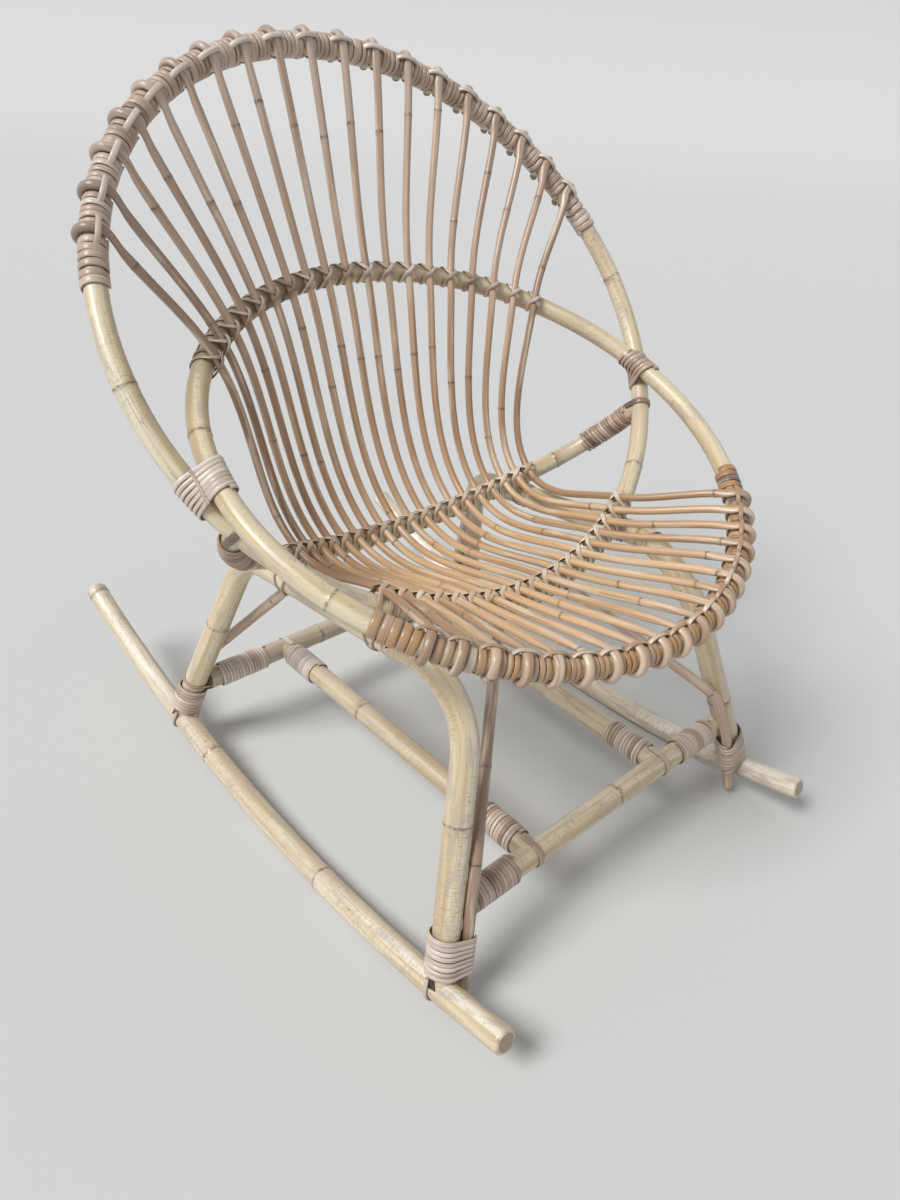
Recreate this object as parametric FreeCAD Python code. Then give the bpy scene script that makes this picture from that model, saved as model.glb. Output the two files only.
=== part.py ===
"""Rocking chair of bent rattan poles: two crossing hoops carry a bucket of nineteen rods,
two leg arches stand on two rockers, and cane lashings bind every joint."""
import FreeCAD
import Part
import math
import os

V = FreeCAD.Vector

# Pole, rod and cane sizes in millimetres
HOOP_DIAMETER = 22.0
RAIL_DIAMETER = 22.0
LEG_DIAMETER = 29.0
ROCKER_DIAMETER = 28.0
STRETCHER_DIAMETER = 27.0
BRACE_DIAMETER = 13.0
ROD_DIAMETER = 9.0
WRAP_CANE = 5.0
LASHING_CANE = 4.0
TIE_CANE = 2.6
ARCH_TIE_CANE = 1.6
CLEARANCE = 0.3
CANE_GAP = 0.6

# Back hoop: an oval leaning back, from the head rim down to a bar under the seat
BACK_HOOP_HALF_WIDTH = 346.0
BACK_HOOP_HALF_LENGTH = 330.0
BACK_HOOP_LEAN = 50.0
BACK_HOOP_CENTRE_Y = 39.0
BACK_HOOP_CENTRE_Z = 572.0

# Seat hoop: a flatter oval, from the front rim over the arms to the middle of the back
SEAT_HOOP_HALF_LENGTH = 296.0
SEAT_HOOP_LEAN = 23.0
SEAT_HOOP_CENTRE_Y = -87.0
SEAT_HOOP_CENTRE_Z = 477.0

# Seat rail: a bow hung between the sides of the back hoop, at the fold of seat and back
RAIL_BELOW_CROSSING = 46.0
RAIL_DEPTH = 176.0
RAIL_FALL = 50.0

# Rods fan out from the seat rail: the step between two rods, in degrees along each pole
ROD_COUNT = 19
ROD_STEP_TOP = 7.4
ROD_STEP_MIDDLE = 5.6
ROD_STEP_RAIL = 4.4
ROD_STEP_LOW = 3.7
ROD_STEP_FRONT = 5.55
ROD_HOOK_END = 215.0
ROD_BEND_ROOM = 28.0
ROD_SIDE_ROOM = 3.0

# Cane wraps run on past the outermost rods, in degrees
TOP_WRAP_RUN_ON = 10.0
FRONT_WRAP_RUN_ON = 11.0

# Rockers and leg arches
ROCKER_SPACING = 530.0
ROCKER_FRONT_Y = -431.0
ROCKER_REAR_Y = 429.0
ROCKER_BEND_RADIUS = 1300.0
ROCKER_LOW_Y = -100.0
ROCKER_END_ROUNDING = 5.0
FRONT_FOOT_Y = -340.0
REAR_FOOT_Y = 188.0
ARCH_FRONT_INWARD = 24.5
ARCH_FRONT_AHEAD = 79.5
ARCH_FRONT_RISE = 10.2
ARCH_REAR_BEND_Y = 116.0
ARCH_FRONT_BEND_RADIUS = 95.0
ARCH_RISE_AHEAD = 32.0
ARCH_RISE_RADIUS = 160.0
ARCH_REAR_BEND_RADIUS = 55.0
ARCH_BETWEEN_RODS = 8.5

# Stretchers and braces; a brace lies on the leg's inner side by this share of its offset
FRONT_STRETCHER_Z = 102.0
REAR_STRETCHER_Z = 107.0
STRETCHER_BEHIND_LEG = 8.4
LONG_STRETCHER_X = 113.0
FRONT_BRACE_TOP_X = 47.0
REAR_BRACE_TOP_X = 107.0
FRONT_BRACE_BEND_Z = 165.0
REAR_BRACE_BEND_Z = 140.0
BRACE_INWARD = 0.8
BRACE_STUB = 8.0
BRACE_BEND_RADIUS = 60.0
CUP_LENGTH = 90.0

# Turns of cane in each lashing, and how the strands start, end and lean
FOOT_TURNS = 7
STRETCHER_TURNS = 15
LONG_STRETCHER_TURNS = 12
CROSSING_TURNS = 8
STRETCHER_WRAP_START = 30.0
RAIL_END_WRAP = 44.0
LASHING_START = 4.5
LASHING_ROOM = 0.9
STRAP_REACH = 4.0
STRAP_ASIDE = 6.0
TIE_SHOULDER = 0.5
TIE_LEAN = 0.45
TIE_MEETS_ARCH = 55.0
TIE_END = 40.0

HOOP_RADIUS = HOOP_DIAMETER / 2
RAIL_RADIUS = RAIL_DIAMETER / 2
LEG_RADIUS = LEG_DIAMETER / 2
ROCKER_RADIUS = ROCKER_DIAMETER / 2
STRETCHER_RADIUS = STRETCHER_DIAMETER / 2
BRACE_RADIUS = BRACE_DIAMETER / 2
ROD_RADIUS = ROD_DIAMETER / 2
TIED_GAP = TIE_CANE + 3 * CLEARANCE
SIDES = (("left", -1), ("right", 1))
SMALL = 1e-4

# Arcs that make up the bends of each kind of pole
HOOP_ARCS = 16
RAIL_ARCS = 10
CUP_ARCS = 4
HOOK_ARCS = 3

# Where the sides of the hoops can cross, in degrees, and how finely that is searched
CROSSING_SEARCH_BACK = range(70, 131)
CROSSING_SEARCH_SEAT = range(50, 111)
FINEST_SEARCH = 0.001
HALVINGS = 24

nodes = {}
strand_gaps = []


def unit(vector):
    return vector * (1.0 / vector.Length)


def mirrored(vector, side):
    """The same place on the left (-1) or right (+1) of the chair."""
    return V(side * vector.x, vector.y, vector.z)


# Paths of tangent arcs, and round poles swept along them

def arc_edge(start, heading, end):
    """The arc that leaves start along heading and arrives at end."""
    chord = end - start
    along = unit(chord)
    across = heading - along * heading.dot(along)
    if across.Length < SMALL:
        return Part.LineSegment(start, end).toShape()
    turn = math.atan2(across.Length, heading.dot(along))
    middle = (start + end) * 0.5 + unit(across) * (chord.Length / 2 * math.tan(turn / 2))
    return Part.Arc(start, middle, end).toShape()


def biarc_edges(start, heading, end, arrival):
    """Two arcs, tangent to each other, from start along heading to end along arrival."""
    chord = end - start
    both = heading + arrival
    reach = chord.dot(both)
    spread = 2 * (1 - heading.dot(arrival))
    if spread < SMALL:
        arm = chord.dot(chord) / (2 * reach)
    else:
        arm = (math.sqrt(reach * reach + spread * chord.dot(chord)) - reach) / spread
    joint = (start + heading * arm + end - arrival * arm) * 0.5
    back_edge = arc_edge(end, arrival * -1, joint)
    middle = back_edge.valueAt((back_edge.FirstParameter + back_edge.LastParameter) / 2)
    if (middle - (joint + end) * 0.5).Length < SMALL:
        second = Part.LineSegment(joint, end).toShape()
    else:
        second = Part.Arc(joint, middle, end).toShape()
    return [arc_edge(start, heading, joint), second]


def sweep(edges, start, heading, radius):
    profile = Part.Wire([Part.Circle(start, heading, radius).toShape()])
    return Part.Wire(edges).makePipeShell([profile], True, False)


def pole_through(stations, radius):
    """A round pole through stations of (place, heading)."""
    edges = []
    for (start, heading), (end, arrival) in zip(stations, stations[1:]):
        edges += biarc_edges(start, heading, end, arrival)
    return sweep(edges, stations[0][0], stations[0][1], radius)


def bent_pole(corners, bend_radii, radius):
    """A pole of straight runs, bent at each inner corner."""
    edges = []
    start = corners[0]
    for before, corner, after, bend in zip(corners, corners[1:], corners[2:], bend_radii):
        into = unit(corner - before)
        out = unit(after - corner)
        cut = bend * math.tan(into.getAngle(out) / 2)
        bend_start = corner - into * cut
        bend_end = corner + out * cut
        edges.append(Part.LineSegment(start, bend_start).toShape())
        edges.append(arc_edge(bend_start, into, bend_end))
        start = bend_end
    edges.append(Part.LineSegment(start, corners[-1]).toShape())
    return sweep(edges, corners[0], unit(corners[1] - corners[0]), radius)


def straight_pole(start, end, radius):
    return Part.makeCylinder(radius, (end - start).Length, start, end - start)


# The centre lines of the three bent frame poles

class Hoop:
    """An oval in a plane that holds the X axis and leans back by an angle from level."""

    def __init__(self, half_width, half_length, lean, centre):
        self.half_width = half_width
        self.half_length = half_length
        self.centre = centre
        self.up = V(0, math.cos(math.radians(lean)), math.sin(math.radians(lean)))
        self.face = V(0, -self.up.z, self.up.y)

    def point(self, degrees):
        angle = math.radians(degrees)
        across = V(self.half_width * math.sin(angle), 0, 0)
        return self.centre + across + self.up * (self.half_length * math.cos(angle))

    def heading(self, degrees):
        angle = math.radians(degrees)
        across = V(self.half_width * math.cos(angle), 0, 0)
        return unit(across - self.up * (self.half_length * math.sin(angle)))

    def outward(self, degrees):
        """Away from the middle of the oval, in its plane."""
        return self.heading(degrees).cross(self.face)

    def degrees_per_mm(self, degrees):
        one_degree = (self.point(degrees + 0.5) - self.point(degrees - 0.5)).Length
        return 1.0 / one_degree

    def stations(self, first, last, count):
        steps = [first + (last - first) * i / count for i in range(count + 1)]
        return [(self.point(step), self.heading(step)) for step in steps]


class Bow(Hoop):
    """Half an oval hung below its two ends: 0 degrees is the lowest place."""

    def __init__(self, half_width, depth, fall, ends):
        down = V(0, math.cos(math.radians(fall)), -math.sin(math.radians(fall)))
        Hoop.__init__(self, half_width, depth, 0, V(0, ends.y, ends.z))
        self.up = down
        self.face = V(0, down.z, -down.y) * -1


back_hoop = Hoop(BACK_HOOP_HALF_WIDTH, BACK_HOOP_HALF_LENGTH, BACK_HOOP_LEAN,
                 V(0, BACK_HOOP_CENTRE_Y, BACK_HOOP_CENTRE_Z))


def seat_hoop_of(half_width):
    centre = V(0, SEAT_HOOP_CENTRE_Y, SEAT_HOOP_CENTRE_Z)
    return Hoop(half_width, SEAT_HOOP_HALF_LENGTH, SEAT_HOOP_LEAN, centre)


def nearest_places(one, other):
    """The angles at which the sides of two hoops pass closest, and their distance."""
    best = None
    for first in CROSSING_SEARCH_BACK:
        for second in CROSSING_SEARCH_SEAT:
            gap = (one.point(first) - other.point(second)).Length
            if best is None or gap < best[0]:
                best = (gap, float(first), float(second))
    step = 0.5
    while step > FINEST_SEARCH:
        gap, first, second = best
        tries = [(first + a * step, second + b * step) for a in (-1, 0, 1) for b in (-1, 0, 1)]
        best = min([((one.point(a) - other.point(b)).Length, a, b) for a, b in tries])
        if best[0] >= gap:
            step /= 2
    return best


def widest_seat_hoop():
    """The seat hoop that just fits inside the back hoop where the two cross."""
    narrow, wide = BACK_HOOP_HALF_WIDTH / 2, BACK_HOOP_HALF_WIDTH
    for _ in range(HALVINGS):
        middle = (narrow + wide) / 2
        if nearest_places(back_hoop, seat_hoop_of(middle))[0] > HOOP_DIAMETER + CLEARANCE:
            narrow = middle
        else:
            wide = middle
    return seat_hoop_of(narrow)


seat_hoop = widest_seat_hoop()
_, CROSSING_BACK, CROSSING_SEAT = nearest_places(back_hoop, seat_hoop)
RAIL_END_ANGLE = CROSSING_BACK + RAIL_BELOW_CROSSING * back_hoop.degrees_per_mm(CROSSING_BACK)
rail_end = back_hoop.point(RAIL_END_ANGLE)
seat_rail = Bow(rail_end.x, RAIL_DEPTH, RAIL_FALL, rail_end)
RAIL_FULL = 90.0


def hoop_solids():
    """Both hoops are one bent pole each, whose ends meet under the cane wrap, between two rods."""
    joint = CLEARANCE * back_hoop.degrees_per_mm(0)
    top_joint = ROD_STEP_TOP / 2
    front_joint = 180 + ROD_STEP_FRONT / 2
    for name, hoop, start in (("back_hoop", back_hoop, top_joint), ("seat_hoop", seat_hoop, front_joint)):
        stations = hoop.stations(start + joint, start + 360 - joint, HOOP_ARCS)
        nodes[name] = [pole_through(stations, HOOP_RADIUS)]


def stretch_of(hoop, degrees, radius):
    """A short stretch of a hoop, thick enough to cup the end of a pole that meets it."""
    half = CUP_LENGTH / 2 * hoop.degrees_per_mm(degrees)
    return pole_through(hoop.stations(degrees - half, degrees + half, CUP_ARCS), radius)


def rail_solid():
    pole = pole_through(seat_rail.stations(-RAIL_FULL, RAIL_FULL, RAIL_ARCS), RAIL_RADIUS)
    for side in (-1, 1):
        pole = pole.cut(stretch_of(back_hoop, side * RAIL_END_ANGLE, HOOP_RADIUS + CLEARANCE))
    nodes["seat_rail"] = [pole]


# Rods of the bucket

def seat_of(place, axis, travel, facing, radius):
    """Where a rod that travels across a pole lies on it, on the side that faces the sitter."""
    normal = unit(axis.cross(travel))
    if normal.dot(facing) < 0:
        normal = normal * -1
    return place + normal * (radius + ROD_RADIUS + CLEARANCE), normal


def hook_stations(hoop, degrees, arriving):
    """A rod's end: it arrives on the sitter's side of the rim and curls round its outside."""
    centre = hoop.point(degrees)
    outward = hoop.outward(degrees)
    if outward.dot(centre - hoop.centre) < 0:
        outward = outward * -1
    reach = HOOP_RADIUS + ROD_RADIUS + CLEARANCE
    first = -math.degrees(math.atan2(arriving.dot(hoop.face), arriving.dot(outward)))
    stations = []
    for step in range(HOOK_ARCS + 1):
        angle = math.radians(first + (ROD_HOOK_END - first) * step / HOOK_ARCS)
        place = centre + (hoop.face * math.cos(angle) + outward * math.sin(angle)) * reach
        heading = outward * math.cos(angle) - hoop.face * math.sin(angle)
        stations.append((place, heading))
    return stations


def near_rim(rim, crossing, sense):
    """A rod runs straight until it is close to the rim, where it bends to cross it squarely."""
    away = unit(crossing - rim)
    return rim + away * ROD_BEND_ROOM, away * sense


def rod_places(number):
    """Angles of a rod on the poles that it crosses; number runs from -9 to 9."""
    return (number * ROD_STEP_TOP, number * ROD_STEP_MIDDLE, number * ROD_STEP_RAIL,
            180 - number * ROD_STEP_LOW, 180 - number * ROD_STEP_FRONT)


def rod_crossings(number):
    """Place, heading and normal of a rod where it lies on the mid back, the rail and the low bar."""
    top, middle, rail, low, front = rod_places(number)
    ends = [back_hoop.point(top), seat_hoop.point(middle), seat_rail.point(rail), back_hoop.point(low),
            seat_hoop.point(front)]
    poles = [(seat_hoop.heading(middle), HOOP_RADIUS), (seat_rail.heading(rail), RAIL_RADIUS),
             (back_hoop.heading(low), HOOP_RADIUS)]
    inside = V(0, seat_hoop.centre.y, seat_hoop.centre.z + HOOP_DIAMETER)
    crossings = []
    for i, (axis, radius) in enumerate(poles, 1):
        travel = unit(unit(ends[i + 1] - ends[i]) + unit(ends[i] - ends[i - 1]))
        place, normal = seat_of(ends[i], axis, travel, inside - ends[i], radius)
        flat = travel - normal * travel.dot(normal)
        crossings.append((place, unit(flat), normal))
    return crossings


def rod_solid(number):
    top, _, _, _, front = rod_places(number)
    crossings = rod_crossings(number)
    upper = hook_stations(back_hoop, top, unit(back_hoop.point(top) - crossings[0][0]))
    lower = hook_stations(seat_hoop, front, unit(seat_hoop.point(front) + seat_hoop.face * HOOP_RADIUS
                                                 - crossings[2][0]))
    stations = [(place, heading * -1) for place, heading in reversed(upper)]
    stations.append(near_rim(upper[0][0], crossings[0][0], 1))
    stations += [(place, heading) for place, heading, _ in crossings]
    stations.append(near_rim(lower[0][0], crossings[2][0], -1))
    stations += lower
    return pole_through(stations, ROD_RADIUS)


ROD_NUMBERS = range(-(ROD_COUNT // 2), ROD_COUNT // 2 + 1)


def rods():
    for order, number in enumerate(ROD_NUMBERS, 1):
        nodes["rod_%02d" % order] = [rod_solid(number)]


# Rockers, leg arches, stretchers and braces

def rocker_centre_z(y):
    """Height of a rocker's centre line at a place along it."""
    drop = math.sqrt(ROCKER_BEND_RADIUS ** 2 - (y - ROCKER_LOW_Y) ** 2)
    return ROCKER_RADIUS + ROCKER_BEND_RADIUS - drop


def rocker_station(side, y):
    slope = (y - ROCKER_LOW_Y) / ROCKER_BEND_RADIUS
    heading = V(0, math.sqrt(1 - slope * slope), slope)
    return V(side * ROCKER_SPACING / 2, y, rocker_centre_z(y)), heading


def rocker_pole(side, radius, first, last):
    middle = (first + last) / 2
    return pole_through([rocker_station(side, y) for y in (first, middle, last)], radius)


def rockers():
    for name, side in SIDES:
        ends = (ROCKER_FRONT_Y, ROCKER_REAR_Y)
        pole = rocker_pole(side, ROCKER_RADIUS, *ends)
        rims = [edge for edge in pole.Edges if edge.Curve.TypeId == "Part::GeomCircle"
                and abs(edge.Curve.Radius - ROCKER_RADIUS) < SMALL and edge.isClosed()
                and min(abs(edge.CenterOfMass.y - end) for end in ends) < ROCKER_RADIUS]
        nodes[name + "_rocker"] = [pole.makeFillet(ROCKER_END_ROUNDING, rims)]


def under_pole(place, axis, travel, gap):
    """The place below a pole where another pole that travels across it touches."""
    normal = unit(axis.cross(travel))
    if normal.z > 0:
        normal = normal * -1
    return place + normal * gap


def arch_travel(side):
    """The way that the top bar of a leg arch runs, from the seat rail to the low bar."""
    _, _, rail, low, _ = rod_places(side * ARCH_BETWEEN_RODS)
    return unit(back_hoop.point(low) - seat_rail.point(rail))


def arch_seats():
    """Where the right-hand leg arch carries the low bar and the seat rail."""
    _, _, rail, low, _ = rod_places(ARCH_BETWEEN_RODS)
    travel = arch_travel(1)
    front_seat = under_pole(back_hoop.point(low), back_hoop.heading(low), travel,
                            HOOP_RADIUS + TIED_GAP + LEG_RADIUS)
    rear_seat = under_pole(seat_rail.point(rail), seat_rail.heading(rail), travel,
                           RAIL_RADIUS + TIED_GAP + LEG_RADIUS)
    return front_seat, rear_seat


def arch_corners(side):
    """Rear foot, rear bend, the start of the rise past the low bar, front bend and front foot."""
    front_seat, rear_seat = arch_seats()
    top = unit(front_seat - rear_seat)
    rear_bend = rear_seat + top * ((ARCH_REAR_BEND_Y - rear_seat.y) / top.y)
    rise = front_seat + top * ARCH_RISE_AHEAD
    front_bend = rise + V(-ARCH_FRONT_INWARD, -ARCH_FRONT_AHEAD, ARCH_FRONT_RISE)
    rear_foot, _ = rocker_station(1, REAR_FOOT_Y)
    front_foot, _ = rocker_station(1, FRONT_FOOT_Y)
    return [mirrored(corner, side) for corner in (rear_foot, rear_bend, rise, front_bend, front_foot)]


def arches():
    for name, side in SIDES:
        corners = arch_corners(side)
        bends = (ARCH_REAR_BEND_RADIUS, ARCH_RISE_RADIUS, ARCH_FRONT_BEND_RADIUS)
        pole = bent_pole(corners, bends, LEG_RADIUS)
        for foot in (REAR_FOOT_Y, FRONT_FOOT_Y):
            reach = 2 * LEG_DIAMETER
            room = rocker_pole(side, ROCKER_RADIUS + 2 * CLEARANCE, foot - reach, foot + reach)
            pole = pole.cut(room)
        nodes[name + "_leg_arch"] = [pole]


def leg_at(foot, bend, z):
    """The centre of a leg at a height."""
    return foot + (bend - foot) * ((z - foot.z) / (bend.z - foot.z))


def legs(side):
    rear_foot, rear_bend, _, front_bend, front_foot = arch_corners(side)
    return {"front": (front_foot, front_bend), "rear": (rear_foot, rear_bend)}


STRETCHER_HEIGHTS = {"front": FRONT_STRETCHER_Z, "rear": REAR_STRETCHER_Z}
INWARD_END = {"front": 1, "rear": -1}


def stretcher_end(place, side):
    foot, bend = legs(side)[place]
    leg = leg_at(foot, bend, STRETCHER_HEIGHTS[place])
    return leg + V(0, INWARD_END[place] * STRETCHER_BEHIND_LEG, 0)


def cross_stretchers():
    for place in ("front", "rear"):
        left, right = stretcher_end(place, -1), stretcher_end(place, 1)
        pole = straight_pole(left, right, STRETCHER_RADIUS)
        for side in (-1, 1):
            foot, bend = legs(side)[place]
            pole = pole.cut(straight_pole(foot, bend, LEG_RADIUS + CLEARANCE))
        nodes[place + "_stretcher"] = [max(pole.Solids, key=lambda solid: solid.Volume)]


def long_stretcher_ends(side):
    front = mirrored(V(LONG_STRETCHER_X, stretcher_end("front", 1).y, FRONT_STRETCHER_Z), side)
    rear = mirrored(V(LONG_STRETCHER_X, stretcher_end("rear", 1).y, REAR_STRETCHER_Z), side)
    return front, rear


def long_stretchers():
    for name, side in SIDES:
        front, rear = long_stretcher_ends(side)
        pole = straight_pole(front, rear, STRETCHER_RADIUS)
        for end in (front, rear):
            across = V(3 * STRETCHER_DIAMETER, 0, 0)
            pole = pole.cut(straight_pole(end - across, end + across, STRETCHER_RADIUS + CLEARANCE))
        nodes[name + "_long_stretcher"] = [pole]


def foot_top(place):
    """Height of the top of the rocker under a foot."""
    return rocker_centre_z(FRONT_FOOT_Y if place == "front" else REAR_FOOT_Y) + ROCKER_RADIUS


FOOT_LASHING_PITCH = LASHING_CANE + CANE_GAP
BRACE_OFFSET = LEG_RADIUS + BRACE_RADIUS + 2 * CLEARANCE
BRACE_BEND_HEIGHTS = {"front": FRONT_BRACE_BEND_Z, "rear": REAR_BRACE_BEND_Z}


def brace_beside_leg(place, z):
    """Centre of a brace where it lies along the leg, on the inner and outer-end side of it."""
    foot, bend = legs(1)[place]
    leg = leg_at(foot, bend, z)
    axis = unit(bend - foot)
    wish = V(-BRACE_INWARD, -INWARD_END[place] * math.sqrt(1 - BRACE_INWARD ** 2), 0)
    offset = unit(wish - axis * wish.dot(axis))
    return leg + offset * BRACE_OFFSET


def brace_corners(place, side):
    """A brace runs down past the inside of the rocker, along the leg, and up to the seat."""
    lashing_top = foot_top(place) + LASHING_START + FOOT_TURNS * FOOT_LASHING_PITCH
    along = brace_beside_leg(place, lashing_top + BRACE_DIAMETER)
    lower = brace_beside_leg(place, foot_top(place))
    beside_rocker = ROCKER_SPACING / 2 - ROCKER_RADIUS - BRACE_RADIUS - 2 * CLEARANCE
    stub = V(beside_rocker, lower.y, foot_top(place) - ROCKER_DIAMETER - BRACE_STUB)
    above = brace_beside_leg(place, BRACE_BEND_HEIGHTS[place])
    if place == "front":
        top = back_hoop.point(180 - math.degrees(math.asin(FRONT_BRACE_TOP_X / BACK_HOOP_HALF_WIDTH)))
    else:
        top = seat_rail.point(math.degrees(math.asin(REAR_BRACE_TOP_X / seat_rail.half_width)))
    return [mirrored(corner, side) for corner in (stub, along, above, top)]


def braces():
    hoop_angle = 180 - math.degrees(math.asin(FRONT_BRACE_TOP_X / BACK_HOOP_HALF_WIDTH))
    rail_angle = math.degrees(math.asin(REAR_BRACE_TOP_X / seat_rail.half_width))
    for name, side in SIDES:
        for place, hoop, angle, radius in (("front", back_hoop, hoop_angle, HOOP_RADIUS),
                                           ("rear", seat_rail, rail_angle, RAIL_RADIUS)):
            bends = (BRACE_BEND_RADIUS, BRACE_BEND_RADIUS)
            pole = bent_pole(brace_corners(place, side), bends, BRACE_RADIUS)
            room = stretch_of(hoop, side * angle, radius + TIED_GAP)
            nodes["%s_%s_brace" % (place, name)] = [pole.cut(room)]


# Cane strands: windings, lashings, straps and cross-shaped ties

def strand(stations, cane, turn):
    """One unbroken strand; turn is its number of stations in one turn."""
    points = []
    for (start, heading), (end, arrival) in zip(stations, stations[1:]):
        points += [edge.valueAt(edge.FirstParameter) for edge in biarc_edges(start, heading, end, arrival)]
    near = [(one - other).Length for i, one in enumerate(points) for other in points[i + turn:i + 4 * turn]]
    strand_gaps.append(min(near) - cane)
    return pole_through(stations, cane / 2)


def helix(place_at, turns, cane):
    """A winding of cane in half turns, on a curve given by a function of the share of its length."""
    halves = int(round(2 * turns))
    stations = []
    for step in range(halves + 1):
        share = step / halves
        stations.append((place_at(share), unit(place_at(share + SMALL) - place_at(share - SMALL))))
    return strand(stations, cane, 2)


def winding_on_hoop(hoop, first, last, pole_radius, cane):
    """A helix of cane round a stretch of a hoop, with as many turns as its inner side has room for."""
    reach = pole_radius + CLEARANCE + cane / 2
    inner = [hoop.point(degrees) - hoop.outward(degrees) * reach for degrees in (first, last)]
    outer = [hoop.point(degrees) + hoop.outward(degrees) * reach for degrees in (first, last)]
    length = min((inner[1] - inner[0]).Length, (outer[1] - outer[0]).Length)
    turns = math.floor(2 * length / (cane + CANE_GAP)) / 2

    def place_at(share):
        degrees = first + (last - first) * share
        angle = 2 * math.pi * turns * share
        outward = hoop.outward(degrees)
        return hoop.point(degrees) + (hoop.face * math.cos(angle) + outward * math.sin(angle)) * reach

    return helix(place_at, turns, cane)


def winding_on_pole(start, axis, pole_radius, turns, cane):
    """A helix of cane round a straight pole."""
    reach = pole_radius + CLEARANCE + cane / 2
    aside = unit(axis.cross(V(0, 0, 1)))
    above = aside.cross(axis)
    length = turns * (cane + CANE_GAP)

    def place_at(share):
        angle = 2 * math.pi * turns * share
        return start + axis * (length * share) + (above * math.cos(angle) + aside * math.sin(angle)) * reach

    return helix(place_at, turns, cane)


def lashing(pair_at, axis, first_radius, second_radius, turns, cane):
    """Cane wound round two poles side by side; pair_at gives their two centres along the way."""
    first_reach = first_radius + cane / 2
    second_reach = second_radius + cane / 2
    corners = 6
    stations = []
    for step in range(corners * turns + 1):
        share = step / (corners * turns)
        first, second = pair_at(share)
        toward = second - first
        toward = toward - axis * toward.dot(axis)
        lean = math.acos((first_reach - second_reach) / toward.Length)
        angles = (0, lean, lean, math.pi, 2 * math.pi - lean, 2 * math.pi - lean)
        on_first = (False, False, True, True, True, False)
        angle = angles[step % corners]
        toward = unit(toward)
        aside = axis.cross(toward)
        centre, reach = (first, first_reach) if on_first[step % corners] else (second, second_reach)
        place = centre + (toward * math.cos(angle) + aside * math.sin(angle)) * reach
        girth = 2 * math.pi * first_reach
        climb = (pair_at(1)[0] - pair_at(0)[0]).dot(axis) / (turns * girth)
        stations.append((place, unit(aside * math.cos(angle) - toward * math.sin(angle) + axis * climb)))
    return strand(stations, cane, corners)


def strap(centre, axis, pull, radius, length, cane):
    """A strand that holds the end of one pole to another: over, round the far side and back."""
    reach = radius + CLEARANCE + cane / 2
    side = unit(axis.cross(pull))
    stations = [(centre + side * reach + pull * length, pull * -1), (centre + side * reach, pull * -1),
                (centre - pull * reach, side * -1), (centre - side * reach, pull),
                (centre - side * reach + pull * length, pull)]
    return strand(stations, cane, len(stations) - 1)


def cross_tie(centre, axis, travel, normal, pole_radius):
    """A strand round a pole that crosses twice over the rod on it, in the shape of an X."""
    cane = TIE_CANE
    reach = pole_radius + CLEARANCE + cane / 2
    beside = ROD_RADIUS + CANE_GAP + cane / 2
    rod = pole_radius + CLEARANCE + ROD_RADIUS
    shoulder = reach * TIE_SHOULDER
    across = normal.cross(axis)
    slant = travel.dot(axis) / travel.dot(across)

    def at(along, over, out):
        return centre + axis * (along + slant * over) + across * over + normal * out

    def climb(start, crown):
        """From under the pole on one side of the rod, over the rod, and down on its other side."""
        over_rod = unit(axis * (-2 * start - 2 * slant * shoulder) - across * (2 * shoulder))
        lean = across * -TIE_LEAN
        return [(at(start, 0, -reach), across), (at(start, reach, 0), normal),
                (at(start, shoulder, rod), unit(normal + lean)), (at(0, 0, crown), over_rod),
                (at(-start, -shoulder, rod), unit(lean - normal)), (at(-start, -reach, 0), normal * -1)]

    crown = rod + beside
    stations = climb(-beside, crown) + climb(beside, crown + cane + CANE_GAP)
    return strand(stations, cane, len(stations) // 2)


def arch_tie(centre, axis, normal, rod_travel, arch_run, pole_radius):
    """A strand over a seat pole, between two rods, and round the leg arch that carries it."""
    cane = ARCH_TIE_CANE
    reach = pole_radius + CLEARANCE + cane / 2
    out = LEG_RADIUS + 2 * CLEARANCE + cane / 2
    arch = pole_radius + TIED_GAP + LEG_RADIUS
    across = normal.cross(axis)
    slant = rod_travel.dot(axis) / rod_travel.dot(across)
    if arch_run.dot(across) < 0:
        arch_run = arch_run * -1
    lateral = unit(axis - arch_run * axis.dot(arch_run))
    upward = lateral.cross(arch_run)
    slope = math.radians(TIE_MEETS_ARCH)
    beside = out * math.sin(slope)
    above = out * math.cos(slope)
    down_arch = unit(lateral * -math.cos(slope) - upward * math.sin(slope))
    up_arch = unit(upward * math.sin(slope) - lateral * math.cos(slope))
    end = math.radians(TIE_END)

    def on_pole(over, rise):
        return centre + axis * (slant * over) + across * over + normal * rise

    def on_arch(aside, along, rise):
        return centre - normal * arch + lateral * aside + arch_run * along + upward * rise

    stations = [(on_pole(0, reach), unit(across + axis * slant)), (on_pole(reach, 0), normal * -1),
                (on_arch(-beside, reach, above), down_arch),
                (on_arch(-out, reach / 2, 0), unit(upward * -1 - arch_run * TIE_LEAN)),
                (on_arch(0, 0, -out), unit(lateral * out - arch_run * (reach / 2))),
                (on_arch(out, -reach / 2, 0), unit(upward - arch_run * TIE_LEAN)),
                (on_arch(beside, -reach, above), up_arch),
                (on_pole(-reach, 0), normal),
                (on_pole(-reach * math.sin(end), reach * math.cos(end)),
                 unit((across + axis * slant) * math.cos(end) + normal * math.sin(end)))]
    return strand(stations, cane, len(stations) - 1)


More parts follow.
